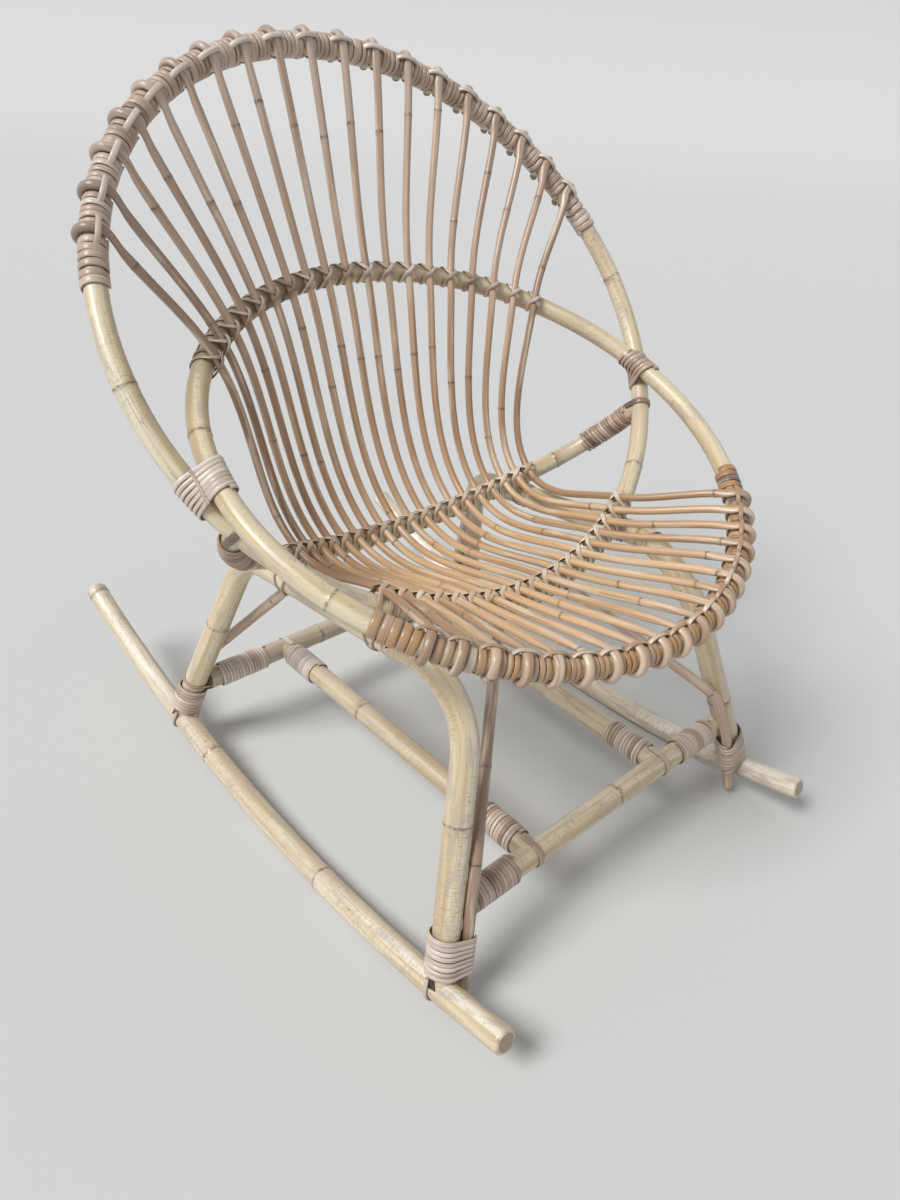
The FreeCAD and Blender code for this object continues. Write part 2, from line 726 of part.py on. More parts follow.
def rim_wrap(hoop, middle, step, run_on):
    """Cane wound round a rim in every gap between two rods, and on past the outermost ones."""
    strands = []
    last = max(ROD_NUMBERS)
    for number in range(-last - 1, last + 1):
        room = ROD_RADIUS + WRAP_CANE / 2 + CANE_GAP
        lean = ROD_SIDE_ROOM * abs(number + 0.5) / last
        start = middle + (number * step if number >= -last else -last * step - run_on)
        end = middle + ((number + 1) * step if number < last else last * step + run_on)
        start += (room + lean) * hoop.degrees_per_mm(start)
        end -= (room + lean) * hoop.degrees_per_mm(end)
        strands.append(winding_on_hoop(hoop, start, end, HOOP_RADIUS, WRAP_CANE))
    return strands


def rod_ties():
    """One tie where each rod lies on the middle of the back, the seat rail and the low bar."""
    poles = (("mid_back_ties", seat_hoop, HOOP_RADIUS), ("seat_rail_ties", seat_rail, RAIL_RADIUS),
             ("low_bar_ties", back_hoop, HOOP_RADIUS))
    for order, (name, hoop, radius) in enumerate(poles):
        nodes[name] = []
        for number in ROD_NUMBERS:
            degrees = rod_places(number)[order + 1]
            _, travel, normal = rod_crossings(number)[order]
            place, axis = hoop.point(degrees), hoop.heading(degrees)
            nodes[name].append(cross_tie(place, axis, travel, normal, radius))


def arch_ties():
    """The seat is tied down on each leg arch at the seat rail and at the low bar."""
    nodes["arch_ties"] = []
    for side in (-1, 1):
        _, _, rail, low, _ = rod_places(side * ARCH_BETWEEN_RODS)
        front_seat, rear_seat = arch_seats()
        arch_run = unit(mirrored(front_seat - rear_seat, side))
        beside = [rod_crossings(side * number) for number in (math.floor(ARCH_BETWEEN_RODS),
                                                              math.ceil(ARCH_BETWEEN_RODS))]
        for order, hoop, degrees, radius in ((1, seat_rail, rail, RAIL_RADIUS),
                                             (2, back_hoop, low, HOOP_RADIUS)):
            place, axis = hoop.point(degrees), hoop.heading(degrees)
            normal = unit(place - under_pole(place, axis, arch_travel(side), radius))
            rod_travel = unit(beside[0][order][1] + beside[1][order][1])
            nodes["arch_ties"].append(arch_tie(place, axis, normal, rod_travel, arch_run, radius))


def crossing_lashings():
    """Cane round both hoops where their sides pass each other."""
    half = CROSSING_TURNS * (LASHING_CANE + CANE_GAP) / 2
    nodes["crossing_lashings"] = []
    for side in (-1, 1):
        def pair_at(share):
            along = (2 * share - 1) * half
            back = back_hoop.point(CROSSING_BACK - along * back_hoop.degrees_per_mm(CROSSING_BACK))
            seat = seat_hoop.point(CROSSING_SEAT - along * seat_hoop.degrees_per_mm(CROSSING_SEAT))
            return mirrored(back, side), mirrored(seat, side)
        axis = unit(pair_at(1)[0] + pair_at(1)[1] - pair_at(0)[0] - pair_at(0)[1])
        spread = back_hoop.heading(CROSSING_BACK).getAngle(seat_hoop.heading(CROSSING_SEAT))
        roomy = HOOP_RADIUS / math.cos(spread / 2) + LASHING_ROOM
        turns = lashing(pair_at, axis, roomy, roomy, CROSSING_TURNS, LASHING_CANE)
        nodes["crossing_lashings"].append(turns)


def rail_end_wraps():
    """Each end of the seat rail is wound with cane and strapped round the back hoop."""
    pieces = []
    start = HOOP_RADIUS + LASHING_CANE + LASHING_START
    per_mm = seat_rail.degrees_per_mm(RAIL_FULL)
    for side in (-1, 1):
        first = side * (RAIL_FULL - start * per_mm)
        last = side * (RAIL_FULL - (start + RAIL_END_WRAP) * per_mm)
        pieces.append(winding_on_hoop(seat_rail, first, last, RAIL_RADIUS, LASHING_CANE))
        angle = side * RAIL_END_ANGLE
        pull = unit(seat_rail.point(first) - back_hoop.point(angle))
        pull = unit(pull - back_hoop.heading(angle) * pull.dot(back_hoop.heading(angle)))
        pieces.append(strap(back_hoop.point(angle), back_hoop.heading(angle), pull, HOOP_RADIUS,
                            HOOP_RADIUS + STRAP_REACH, LASHING_CANE))
    nodes["seat_rail_end_wraps"] = pieces


def foot_lashings():
    """Cane round each leg and its brace, and a strand that goes down round the rocker."""
    height = FOOT_TURNS * FOOT_LASHING_PITCH
    nodes["foot_lashings"] = []
    for side in (-1, 1):
        for place in ("front", "rear"):
            foot, bend = legs(side)[place]
            stub, along, _, _ = brace_corners(place, side)
            low = foot_top(place) + LASHING_START

            def pair_at(share):
                z = low + height * share
                return leg_at(foot, bend, z), leg_at(stub, along, z)
            leg_room, brace_room = LEG_RADIUS + LASHING_ROOM, BRACE_RADIUS + LASHING_ROOM
            axis = unit(bend - foot)
            turns = lashing(pair_at, axis, leg_room, brace_room, FOOT_TURNS, LASHING_CANE)
            foot_y = FRONT_FOOT_Y if place == "front" else REAR_FOOT_Y
            rocker, heading = rocker_station(side, foot_y + INWARD_END[place] * STRAP_ASIDE)
            pull = unit(axis - heading * axis.dot(heading))
            loop = strap(rocker, heading, pull, ROCKER_RADIUS, ROCKER_RADIUS, LASHING_CANE)
            nodes["foot_lashings"] += [turns, loop]


def stretcher_wraps():
    """Cane on the ends of the stretchers, where they meet the legs and each other."""
    across = V(1, 0, 0)
    pieces = []
    for place in ("front", "rear"):
        for side in (-1, 1):
            end = stretcher_end(place, side) - across * (side * STRETCHER_WRAP_START)
            pieces.append(winding_on_pole(end, across * -side, STRETCHER_RADIUS, STRETCHER_TURNS,
                                          LASHING_CANE))
    nodes["cross_stretcher_wraps"] = pieces
    pieces = []
    start = STRETCHER_RADIUS + LASHING_CANE + LASHING_START
    for side in (-1, 1):
        front, rear = long_stretcher_ends(side)
        for end, other in ((front, rear), (rear, front)):
            inward = unit(other - end)
            place = end + inward * start
            pieces.append(winding_on_pole(place, inward, STRETCHER_RADIUS, LONG_STRETCHER_TURNS,
                                          LASHING_CANE))
            length = STRETCHER_RADIUS + STRAP_REACH
            pieces.append(strap(end, across, inward, STRETCHER_RADIUS, length, LASHING_CANE))
    nodes["long_stretcher_wraps"] = pieces


hoop_solids()
rail_solid()
rods()
rockers()
arches()
cross_stretchers()
long_stretchers()
braces()
nodes["top_rim_wrap"] = rim_wrap(back_hoop, 0, ROD_STEP_TOP, TOP_WRAP_RUN_ON)
nodes["front_rim_wrap"] = rim_wrap(seat_hoop, 180, ROD_STEP_FRONT, FRONT_WRAP_RUN_ON)
rod_ties()
arch_ties()
crossing_lashings()
rail_end_wraps()
foot_lashings()
stretcher_wraps()
print("least gap between the turns of a strand: %.2f mm" % min(strand_gaps))

os.makedirs("parts", exist_ok=True)
for name, solids in nodes.items():
    shape = solids[0] if len(solids) == 1 else Part.makeCompound(solids)
    shape.exportStep("parts/%s.step" % name)
print("%d nodes, %d solids" % (len(nodes), sum(len(solids) for solids in nodes.values())))
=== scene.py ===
"""Looks of a rattan rocking chair: poles with node rings, bent rods, and windings of flat split cane."""
import bisect
import math
import random
import bpy
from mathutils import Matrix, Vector, noise
from mathutils.geometry import interpolate_bezier


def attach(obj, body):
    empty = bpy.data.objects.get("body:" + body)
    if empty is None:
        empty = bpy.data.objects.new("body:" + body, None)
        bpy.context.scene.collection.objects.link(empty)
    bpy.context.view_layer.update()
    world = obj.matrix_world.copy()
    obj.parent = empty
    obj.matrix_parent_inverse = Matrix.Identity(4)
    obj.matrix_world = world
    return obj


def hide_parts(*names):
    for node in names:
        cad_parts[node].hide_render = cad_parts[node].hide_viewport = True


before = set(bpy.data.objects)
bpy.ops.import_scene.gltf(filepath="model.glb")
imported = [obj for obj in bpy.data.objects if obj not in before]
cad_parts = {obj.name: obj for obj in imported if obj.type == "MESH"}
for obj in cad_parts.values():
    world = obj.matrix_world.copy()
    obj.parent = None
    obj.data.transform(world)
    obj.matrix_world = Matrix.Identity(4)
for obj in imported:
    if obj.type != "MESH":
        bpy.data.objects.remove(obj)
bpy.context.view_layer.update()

# Sizes of the frame, in millimetres
MM = 0.001
HOOP_RADIUS = 11.0
RAIL_RADIUS = 11.0
LEG_RADIUS = 14.5
ROCKER_RADIUS = 14.0
STRETCHER_RADIUS = 13.5
BRACE_RADIUS = 6.5
ROD_RADIUS = 4.5
CLEARANCE = 0.3
HOOP_JOINT_GAP = 0.1

# Rods: the step between two rods in degrees along each pole that they cross
ROD_NUMBERS = range(-9, 10)
LAST_ROD = max(ROD_NUMBERS)
ROD_STEP_TOP = 7.4
ROD_STEP_MIDDLE = 5.6
ROD_STEP_RAIL = 4.4
ROD_STEP_LOW = 3.7
ROD_STEP_FRONT = 5.55
ROD_HOOK_END = 192.0
HOOK_STEPS = 3
ROD_BEND_ROOM = 28.0

# How flat a rod is pressed in its curl and at the root of it, and where, in millimetres from its end
ROD_FLAT = 0.88
ROD_ROOT_FLAT = 0.55
ROD_SPREAD = 0.4
CURL_FLAT_FROM = 84.0
CURL_FLAT_FADE = 32.0
ROOT_FLAT_PLACE = 66.0
ROOT_FLAT_FADE = 15.0
ROOT_FLAT_BREADTH = 1.7

# Right-hand corners of the bent poles under the seat, and their bends
ROCKER_X = 265.0
ROCKER_ENDS = (-431.0, 429.0)
ROCKER_BEND_RADIUS = 1300.0
ROCKER_LOW_Y = -100.0
ROCKER_END_ROUNDING = 4.0
REAR_FOOT = Vector((265.0, 188.0, 46.3))
REAR_BEND = Vector((190.3, 116.0, 302.1))
ARCH_RISE = Vector((193.5, -176.5, 333.8))
FRONT_BEND = Vector((169.0, -256.0, 344.0))
FRONT_FOOT = Vector((265.0, -340.0, 36.3))
ARCH_BEND_RADII = (55.0, 160.0, 95.0)
FRONT_BRACE = (Vector((243.9, -349.6, 14.3)), Vector((228.3, -336.0, 98.5)),
               Vector((208.0, -318.3, 163.4)), Vector((47.0, -171.2, 321.5)))
REAR_BRACE = (Vector((243.9, 197.4, 24.3)), Vector((229.4, 183.4, 108.8)),
              Vector((220.7, 175.0, 138.8)), Vector((107.0, 39.9, 321.1)))
BRACE_BEND_RADII = (60.0, 60.0)
BRACE_TOP_GAP = 14.5
FRONT_STRETCHER_END = Vector((244.5, -313.7, 102.0))
REAR_STRETCHER_END = Vector((247.3, 162.5, 107.0))
LONG_STRETCHER_X = 113.0

# Node rings that show: angles on the hoops, distances along the legs from their rear foot or front foot,
# and places of the other rings along X or Y
BACK_HOOP_RINGS = (30.0, 88.0, 135.5, 190.0, 228.0, 268.0, 320.0)
SEAT_HOOP_RINGS = (205.0, 247.0, 289.0, 350.0, 78.0, 150.0)
LEFT_LEG_RINGS = ((135.0, 345.0, 520.0), 149.0)
RIGHT_LEG_RINGS = ((120.0, 310.0, 535.0), 89.0)
LEFT_ROCKER_RINGS = (-135.0, 108.0, 417.0)
RIGHT_ROCKER_RINGS = (-260.0, -20.0, 230.0)
FRONT_STRETCHER_RINGS = (-190.0, 25.0, 205.0)
REAR_STRETCHER_RINGS = (-60.0, 150.0)
LONG_STRETCHER_RINGS = (-235.0, -28.0, 140.0)
LONG_STRETCHER_RING_SHIFT = 12.0

# Scattered node rings: length of the pole that has them and their usual spacing, then how uneven they are,
# as shares of the spacing, and the end of the pole that stays free
RAIL_RING_SPACING = (760.0, 240.0)
BRACE_RING_SPACING = (330.0, 120.0)
ROD_RING_STEP = 260.0
FIRST_RING = (0.3, 0.8)
NEXT_RING = (0.75, 1.2)
RINGLESS_END = 20.0

# Split cane: width and thickness of a strand, and the pitch of its turns
TOP_RIM_CANE = (6.2, 1.9)
FRONT_RIM_CANE = (7.0, 1.6)
TOP_BRIDGE_CANE = (6.0, 2.6)
FRONT_BRIDGE_CANE = (5.0, 1.6)
LASHING_PITCH = 4.6
LASHING_CANE = (4.5, 2.4)
FOOT_PITCH = 5.0
FOOT_CANE = (5.0, 2.5)
CROSSING_CANE = (5.4, 1.9)
MID_TIE_CANE = (4.8, 1.6)
SEAT_TIE_CANE = (6.0, 1.4)
ARCH_TIE_CANE = (3.2, 1.2)
RUNNING_CANE = (3.0, 1.0)
STRAP_CANE = (8.0, 1.8)
THIN_STRAP_CANE = (4.8, 1.4)
STEPS_IN_A_TURN = 24
STEPS_ROUND_TWO = 48
HIDDEN_SIDE = (185.0, 285.0)
WINDING_FILL = 0.94

# How far wound strands stray: the most, and the length of a wave in the unit of the winding
RIM_SWAY = (0.34, 210.0)
RIM_LIFT = (0.4, 170.0)
POLE_SWAY = (0.6, 5.0)
POLE_LIFT = (0.3, 3.0)
LASHING_SWAY = 0.5
LASHING_WAVES_IN_A_TURN = 1.3
LASHING_SLACK = 0.2

# Cane on the rims: free room beside a rod, degrees past the last rod, and tones
TOP_RIM_GAP = 0.4
FRONT_RIM_GAP = 1.5
TOP_RUN_ON = 10.0
FRONT_RUN_ON = 11.0
END_STRIP_WIDENING = 1.3
RIM_TONE = 0.5
RIM_TONE_SPREAD = 0.2
RIM_TONE_RANGE = (0.05, 0.75)
FRONT_PALING = 0.05
BRIDGE_TONES = (0.88, 0.98)
BRIDGE_HALF_LENGTH = 13.0
BRIDGE_STEPS = 20
BRIDGE_PLACE_ON_HOOK = 0.25

# Ties of the rods: shares of the strand's width and of the pole's radius, and the lean over the rod
TIE_ROOM = 0.35
TIE_SHOULDER = 0.55
TIE_LEAN = 0.45
RUNNING_STEPS = 120
RUNNING_OUTWARD = 0.98
RUNNING_UPWARD = 0.2

# Lashings and wraps: turns, lengths and free room
CROSSING_LENGTH = 36.8
CROSSING_TURNS = 7
CROSSING_ROOM = 1.3
DIAGONAL_STEPS = 24
DIAGONAL_START = 0.75
DIAGONAL_RUN = 0.5
RAIL_WRAP_START = 8.5
RAIL_WRAP_LENGTH = 68.0
STRAP_OVERLAP = 4.0
FRONT_FOOT_TURNS = 8
REAR_FOOT_TURNS = 7
FOOT_LIFT = 2.0
FOOT_STRAP_SHIFT = 6.0
FOOT_ALONG_LEG = 0.6
FOOT_DIP = 0.2
FOOT_LEG_ROOM = 1.6
FOOT_BRACE_ROOM = 0.9
CROSS_WRAP_START = 30.0
CROSS_WRAP_TURNS = 15
REAR_STRAP_LENGTH = 28.0
LONG_WRAP_START = 8.5
LONG_WRAP_TURNS = 12
WRAP_TONE_LENGTH = 1300.0
ARCH_TIE_NUMBER = 8.5
ARCH_GAP = 3.5
ARCH_TIE_AHEAD = 0.8
ARCH_TIE_SLANT = 0.4
ARCH_TIE_APART = 0.6
ARCH_TIE_TAIL = 2.0

# Poles: rows of skin, and the swelling at a node ring
ROW_STEP = 9.0
CURL_ROW_STEP = 2.5
ROD_CURL = 85.0
LINE_STEP = 2.0
RING_ROWS = (-7.0, -4.0, -2.4, -1.2, -0.5, 0.0, 0.5, 1.2, 2.4, 4.0, 7.0, 12.0)
ROUNDING_ROWS = (0.1, 0.35, 0.65, 1.0)
RING_RIDGE = 0.45
RIDGE_WIDTH = 1.5
RING_SHOULDER = 0.3
SHOULDER_LENGTH = 12.0
SHOULDER_BEFORE_RING = 0.3
GIRTH_WAVE = 0.012
GIRTH_WAVE_LENGTH = 70.0

# Tones. A seed's whole part picks the noise of a pole or strand, and its fraction is the tone
TONE_DRIFT = 0.5
TONE_DRIFT_LENGTH = 40.0
BROWN_FADE = 0.05
MID_BACK_SHARE = (0.32, 0.51)
EDGE_ROD_TONE = 0.05
MIDDLE_ROD_TONE = 0.6
ROD_TONE_SPREAD = 0.4
ROD_TONE_RANGE = (0.02, 0.98)
BRACE_SHADES = (0.3, 0.0)
FIBRE_SHIFT = 97.0

# Layers of noise: how far two seeds lie apart, and the depth of the layer
GIRTH_LAYER = (7.3, 0)
TONE_LAYER = (2.9, 4)
SWAY_LAYER = (3.7, 0)
LIFT_LAYER = (5.1, 9)

SIDES = ((-1, "left"), (1, "right"))
ACROSS = Vector((1, 0, 0))


def clamped(value, low=0.0, high=1.0):
    return min(max(value, low), high)


def mirrored(place, side):
    """The same place on the left (-1) or right (+1) of the chair."""
    return Vector((side * place.x, place.y, place.z))


def square_part(vector, axis):
    """The part of a vector that is square to an axis."""
    return vector - axis * vector.dot(axis)


def slow_noise(way, seed, layer):
    """Smooth noise from -1 to 1 along a way."""
    stride, depth = layer
    return noise.noise(Vector((way, seed * stride, depth)))


# Lines that the poles and strands follow

class Hoop:
    """An oval in a plane that holds the X axis and leans back by an angle from level."""

    def __init__(self, half_width, half_length, lean, centre):
        self.half_width = half_width
        self.half_length = half_length
        self.centre = Vector(centre)
        self.up = Vector((0, math.cos(math.radians(lean)), math.sin(math.radians(lean))))
        self.face = Vector((0, -self.up.z, self.up.y))

    def point(self, degrees):
        angle = math.radians(degrees)
        across = ACROSS * (self.half_width * math.sin(angle))
        return self.centre + across + self.up * (self.half_length * math.cos(angle))

    def heading(self, degrees):
        angle = math.radians(degrees)
        across = ACROSS * (self.half_width * math.cos(angle))
        return (across - self.up * (self.half_length * math.sin(angle))).normalized()

    def outward(self, degrees):
        """Away from the middle of the oval, in its plane."""
        return self.face.cross(self.heading(degrees))

    def degrees_per_mm(self, degrees):
        return 1.0 / (self.point(degrees + 0.5) - self.point(degrees - 0.5)).length

    def points(self, first, last):
        count = round(abs(last - first) / self.degrees_per_mm(first) / LINE_STEP)
        return [self.point(first + (last - first) * i / count) for i in range(count + 1)]


back_hoop = Hoop(346.0, 330.0, 50.0, (0, 39.0, 572.0))
seat_hoop = Hoop(310.6, 296.0, 23.0, (0, -87.0, 477.0))
seat_rail = Hoop(300.8, 176.0, -50.0, (0, -65.8, 447.1))
CROSSING_BACK = 111.69
CROSSING_SEAT = 81.78
RAIL_END_BACK = 119.62


def through(stations):
    """Close points on a smooth line through stations of (place, heading)."""
    points = [stations[0][0]]
    for (start, heading), (end, arrival) in zip(stations, stations[1:]):
        chord = (end - start).length
        pull = chord / math.cos(heading.angle(arrival) / 4) ** 2 / 3
        count = max(4, round(chord / LINE_STEP))
        knots = (start, start + heading * pull, end - arrival * pull, end)
        points += interpolate_bezier(*knots, count + 1)[1:]
    return points


def bent_stations(corners, radii):
    """Stations of a pole of straight runs that is bent at each inner corner."""
    stations = [(corners[0], (corners[1] - corners[0]).normalized())]
    for before, corner, after, radius in zip(corners, corners[1:], corners[2:], radii):
        into = (corner - before).normalized()
        out = (after - corner).normalized()
        cut = radius * math.tan(into.angle(out) / 2)
        stations += [(corner - into * cut, into), (corner + out * cut, out)]
    stations.append((corners[-1], (corners[-1] - corners[-2]).normalized()))
    return stations


class Line:
    """A line of close points, read by the distance along it."""

    def __init__(self, points):
        self.points = points
        self.marks = [0.0]
        for one, other in zip(points, points[1:]):
            self.marks.append(self.marks[-1] + (other - one).length)
        self.length = self.marks[-1]

    def at(self, distance):
        distance = clamped(distance, 0.0, self.length)
        i = min(bisect.bisect_right(self.marks, distance), len(self.marks) - 1)
        span = self.marks[i] - self.marks[i - 1]
        return self.points[i - 1].lerp(self.points[i], (distance - self.marks[i - 1]) / span)

    def heading(self, distance):
        return (self.at(distance + LINE_STEP) - self.at(distance - LINE_STEP)).normalized()


# Skins: rows of points joined into a closed mesh, with what the materials read at each point

class Skin:
    """The mesh of one piece as it grows. Fibre coordinates run across and along the grain."""

    def __init__(self):
        self.places = []
        self.faces = []
        self.fibres = []
        # The band mark is a stain beside a pole's node rings, and painted shade on the sides and underside of
        # a cane strand
        self.marks = {"run": [], "tone": [], "ring": [], "ring_band_and_edge_shade": [], "brown": [], "cut": []}

    def row(self, places, fibres, **marks):
        first = len(self.places)
        self.places += places
        self.fibres += fibres
        for name, values in self.marks.items():
            value = marks.get(name, 0.0)
            values += value if isinstance(value, list) else [value] * len(places)
        return first

    def join(self, one, other, count):
        for i in range(count):
            after = (i + 1) % count
            self.faces.append((one + i, one + after, other + after, other + i))

    def cap(self, places, fibres, tone, at_start):
        first = self.row(places, fibres, tone=tone, cut=1.0)
        order = range(first, first + len(places))
        self.faces.append(tuple(reversed(order)) if at_start else tuple(order))

    def tube(self, rows):
        """Rows of (places, fibres, marks) joined into a tube with a cut face at each end."""
        previous = None
        for places, fibres, marks in rows:
            row = self.row(places, fibres, **marks)
            if previous is None:
                self.cap(places, fibres, marks["tone"], True)
            else:
                self.join(previous, row, len(places))
            previous = row
        self.cap(places, fibres, marks["tone"], False)

    def piece(self, name, look, slot, *nodes):
        """The finished object, riding on the chair in place of its nodes."""
        mesh = bpy.data.meshes.new(name)
        mesh.from_pydata([place * MM for place in self.places], [], self.faces)
        fibre = mesh.attributes.new("fibre", "FLOAT_VECTOR", "POINT")
        fibre.data.foreach_set("vector", [value for fibre in self.fibres for value in fibre])
        for mark, values in self.marks.items():
            mesh.attributes.new(mark, "FLOAT", "POINT").data.foreach_set("value", values)
        mesh.shade_smooth()
        mesh.materials.append(look.owner)
        piece = bpy.data.objects.new(name, mesh)
        bpy.context.scene.collection.objects.link(piece)
        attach(piece, "root")
        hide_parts(*nodes)


def pole_rows(length, rings, rounding, curl):
    """Distances of the rows of skin along a pole, closer at its rings, curls and rounded ends."""
    count = max(2, round(length / ROW_STEP))
    rows = {length * i / count for i in range(count + 1)}
    for ring in rings:
        rows |= {ring + offset for offset in RING_ROWS if 0 < ring + offset < length}
    close = [CURL_ROW_STEP * i for i in range(int(curl / CURL_ROW_STEP))]
    close += [rounding * share for share in ROUNDING_ROWS if rounding]
    return sorted(rows.union(close, [length - distance for distance in close]))


def ring_marks(distance, rings):
    """How much a place has of a node ring's ridge and of the broader shoulder beside it."""
    past_ring = min((distance - ring for ring in rings), key=abs, default=math.inf)
    ridge = math.exp(-(past_ring / RIDGE_WIDTH) ** 2)
    shoulder = math.exp(-abs(past_ring) / SHOULDER_LENGTH)
    return ridge, shoulder * (1.0 if past_ring > 0 else SHOULDER_BEFORE_RING)


def pressed(arms, heading, press, way):
    """The arms of a row, shortened along the way that it is pressed and spread across it."""
    wide = heading.cross(way)
    return [arm + (wide * (arm.dot(wide) * ROD_SPREAD) - way * arm.dot(way)) * press for arm in arms]


def coped(places, heading, centre, axis, radius):
    """An end row, slid along its pole until it lies on the skin of another pole."""
    fitted = []
    along = square_part(heading, axis)
    for place in places:
        away = square_part(place - centre, axis)
        half = away.dot(along) / along.dot(along)
        rest = half * half - (away.dot(away) - radius * radius) / along.dot(along)
        fitted.append(place + heading * (-half - math.sqrt(rest)) if rest > 0 else place)
    return fitted


def rattan_pole(skin, points, radius, rings, seed, sides=20, swell=1.0, rounding=0.0, seats=(None, None),
                flat=None, brown=(1.0, 1.0), shades=(0.0, 1.0), curl=0.0):
    """A round pole with node rings at these distances along it. Seats are the poles that its ends lie on,
    flat gives how much it is pressed at a place and in which direction, brown is a darker stretch of it, as
    shares of its length, shades is the part that it takes of the shading along a rod, and curl is the length
    of each end that bends so much that it needs close rows."""
    line = Line(points)
    distances = pole_rows(line.length, rings, rounding, curl)
    end_seats = {distances[0]: seats[0], distances[-1]: seats[1]}
    angles = [2 * math.pi * i / sides for i in range(sides)]
    heading = line.heading(0)
    normal = heading.orthogonal().normalized()
    rows = []
    for distance in distances:
        turn = heading.rotation_difference(line.heading(distance))
        heading = line.heading(distance)
        normal = (turn @ normal).normalized()
        beside = heading.cross(normal)
        ridge, shoulder = ring_marks(distance, rings)
        wave = GIRTH_WAVE * slow_noise(distance / GIRTH_WAVE_LENGTH, seed, GIRTH_LAYER)
        girth = radius * (1 + wave) + swell * (RING_RIDGE * ridge + RING_SHOULDER * shoulder)
        to_end = max(min(distance, line.length - distance), 0.0)
        if to_end < rounding:
            girth -= rounding - math.sqrt(rounding ** 2 - (rounding - to_end) ** 2)
        arms = [normal * math.cos(angle) + beside * math.sin(angle) for angle in angles]
        if flat:
            arms = pressed(arms, heading, *flat(to_end, line.at(distance)))
        places = [line.at(distance) + arm * girth for arm in arms]
        for place in places:
            place.z = max(place.z, 0.0)
        if end_seats.get(distance):
            places = coped(places, heading if distance else -heading, *end_seats[distance])
        fibres = [(radius * math.cos(angle) + FIBRE_SHIFT * seed, radius * math.sin(angle), distance)
                  for angle in angles]
        run = distance / line.length
        darker = clamped(min(run - brown[0], brown[1] - run) / BROWN_FADE)
        shade = shades[0] + (shades[1] - shades[0]) * run
        rows.append((places, fibres, {"run": shade, "tone": seed % 1, "ring": ridge, "ring_band_and_edge_shade": shoulder,
                                      "brown": darker}))
    skin.tube(rows)


# Cross-section of a cane strand, and at each point how much painted shade darkens it: most on the flat inner
# side and the edges, none on the rounded top
PROFILE = ((-0.5, 0.3), (-0.46, 0.0), (0.46, 0.0), (0.5, 0.3), (0.43, 0.76), (0.24, 0.98), (-0.24, 0.98),
           (-0.43, 0.76))
PROFILE_EDGE_SHADE = [0.9, 1.0, 1.0, 0.9, 0.2, 0.0, 0.0, 0.2]


def cane_strand(skin, strand, size, seed):
    """A strand of split cane, flat side inward, through pairs of (place, way out)."""
    width, thickness = size
    last = len(strand) - 1
    distance = 0.0
    tone = seed % 1
    rows = []
    for i, (place, way_out) in enumerate(strand):
        ahead = (strand[min(i + 1, last)][0] - strand[max(i - 1, 0)][0]).normalized()
        side = way_out.cross(ahead).normalized()
        out = ahead.cross(side)
        if i:
            distance += (place - strand[i - 1][0]).length
            drift = TONE_DRIFT * slow_noise(distance / TONE_DRIFT_LENGTH, seed, TONE_LAYER)
            tone = clamped(seed % 1 + drift)
        places = [place + side * (u * width) + out * (v * thickness) for u, v in PROFILE]
        fibres = [(u * width + FIBRE_SHIFT * seed, v * thickness, distance) for u, v in PROFILE]
        # The edge values mark painted shade on the strand's sides and underside
        rows.append((places, fibres, {"run": i / last, "tone": tone, "ring_band_and_edge_shade": PROFILE_EDGE_SHADE}))
    skin.tube(rows)


# Materials

class Nodes:
    """The nodes of a material or of the world."""

    def __init__(self, owner):
        self.owner = owner
        owner.use_nodes = True
        self.nodes = owner.node_tree.nodes
        self.links = owner.node_tree.links

    def feed(self, node, inputs):
        """Sets inputs of a node to values, or joins them to outputs of other nodes. Gives its own outputs."""
        for name, value in inputs.items():
            socket = node.inputs[name]
            if isinstance(value, bpy.types.NodeSocket):
                self.links.new(value, socket)
            else:
                socket.default_value = (*value, 1) if socket.type == "RGBA" else value
        return node.outputs

    def maths(self, operation, one, other):
        node = self.nodes.new("ShaderNodeMath")
        node.operation = operation
        return self.feed(node, {0: one, 1: other})["Value"]


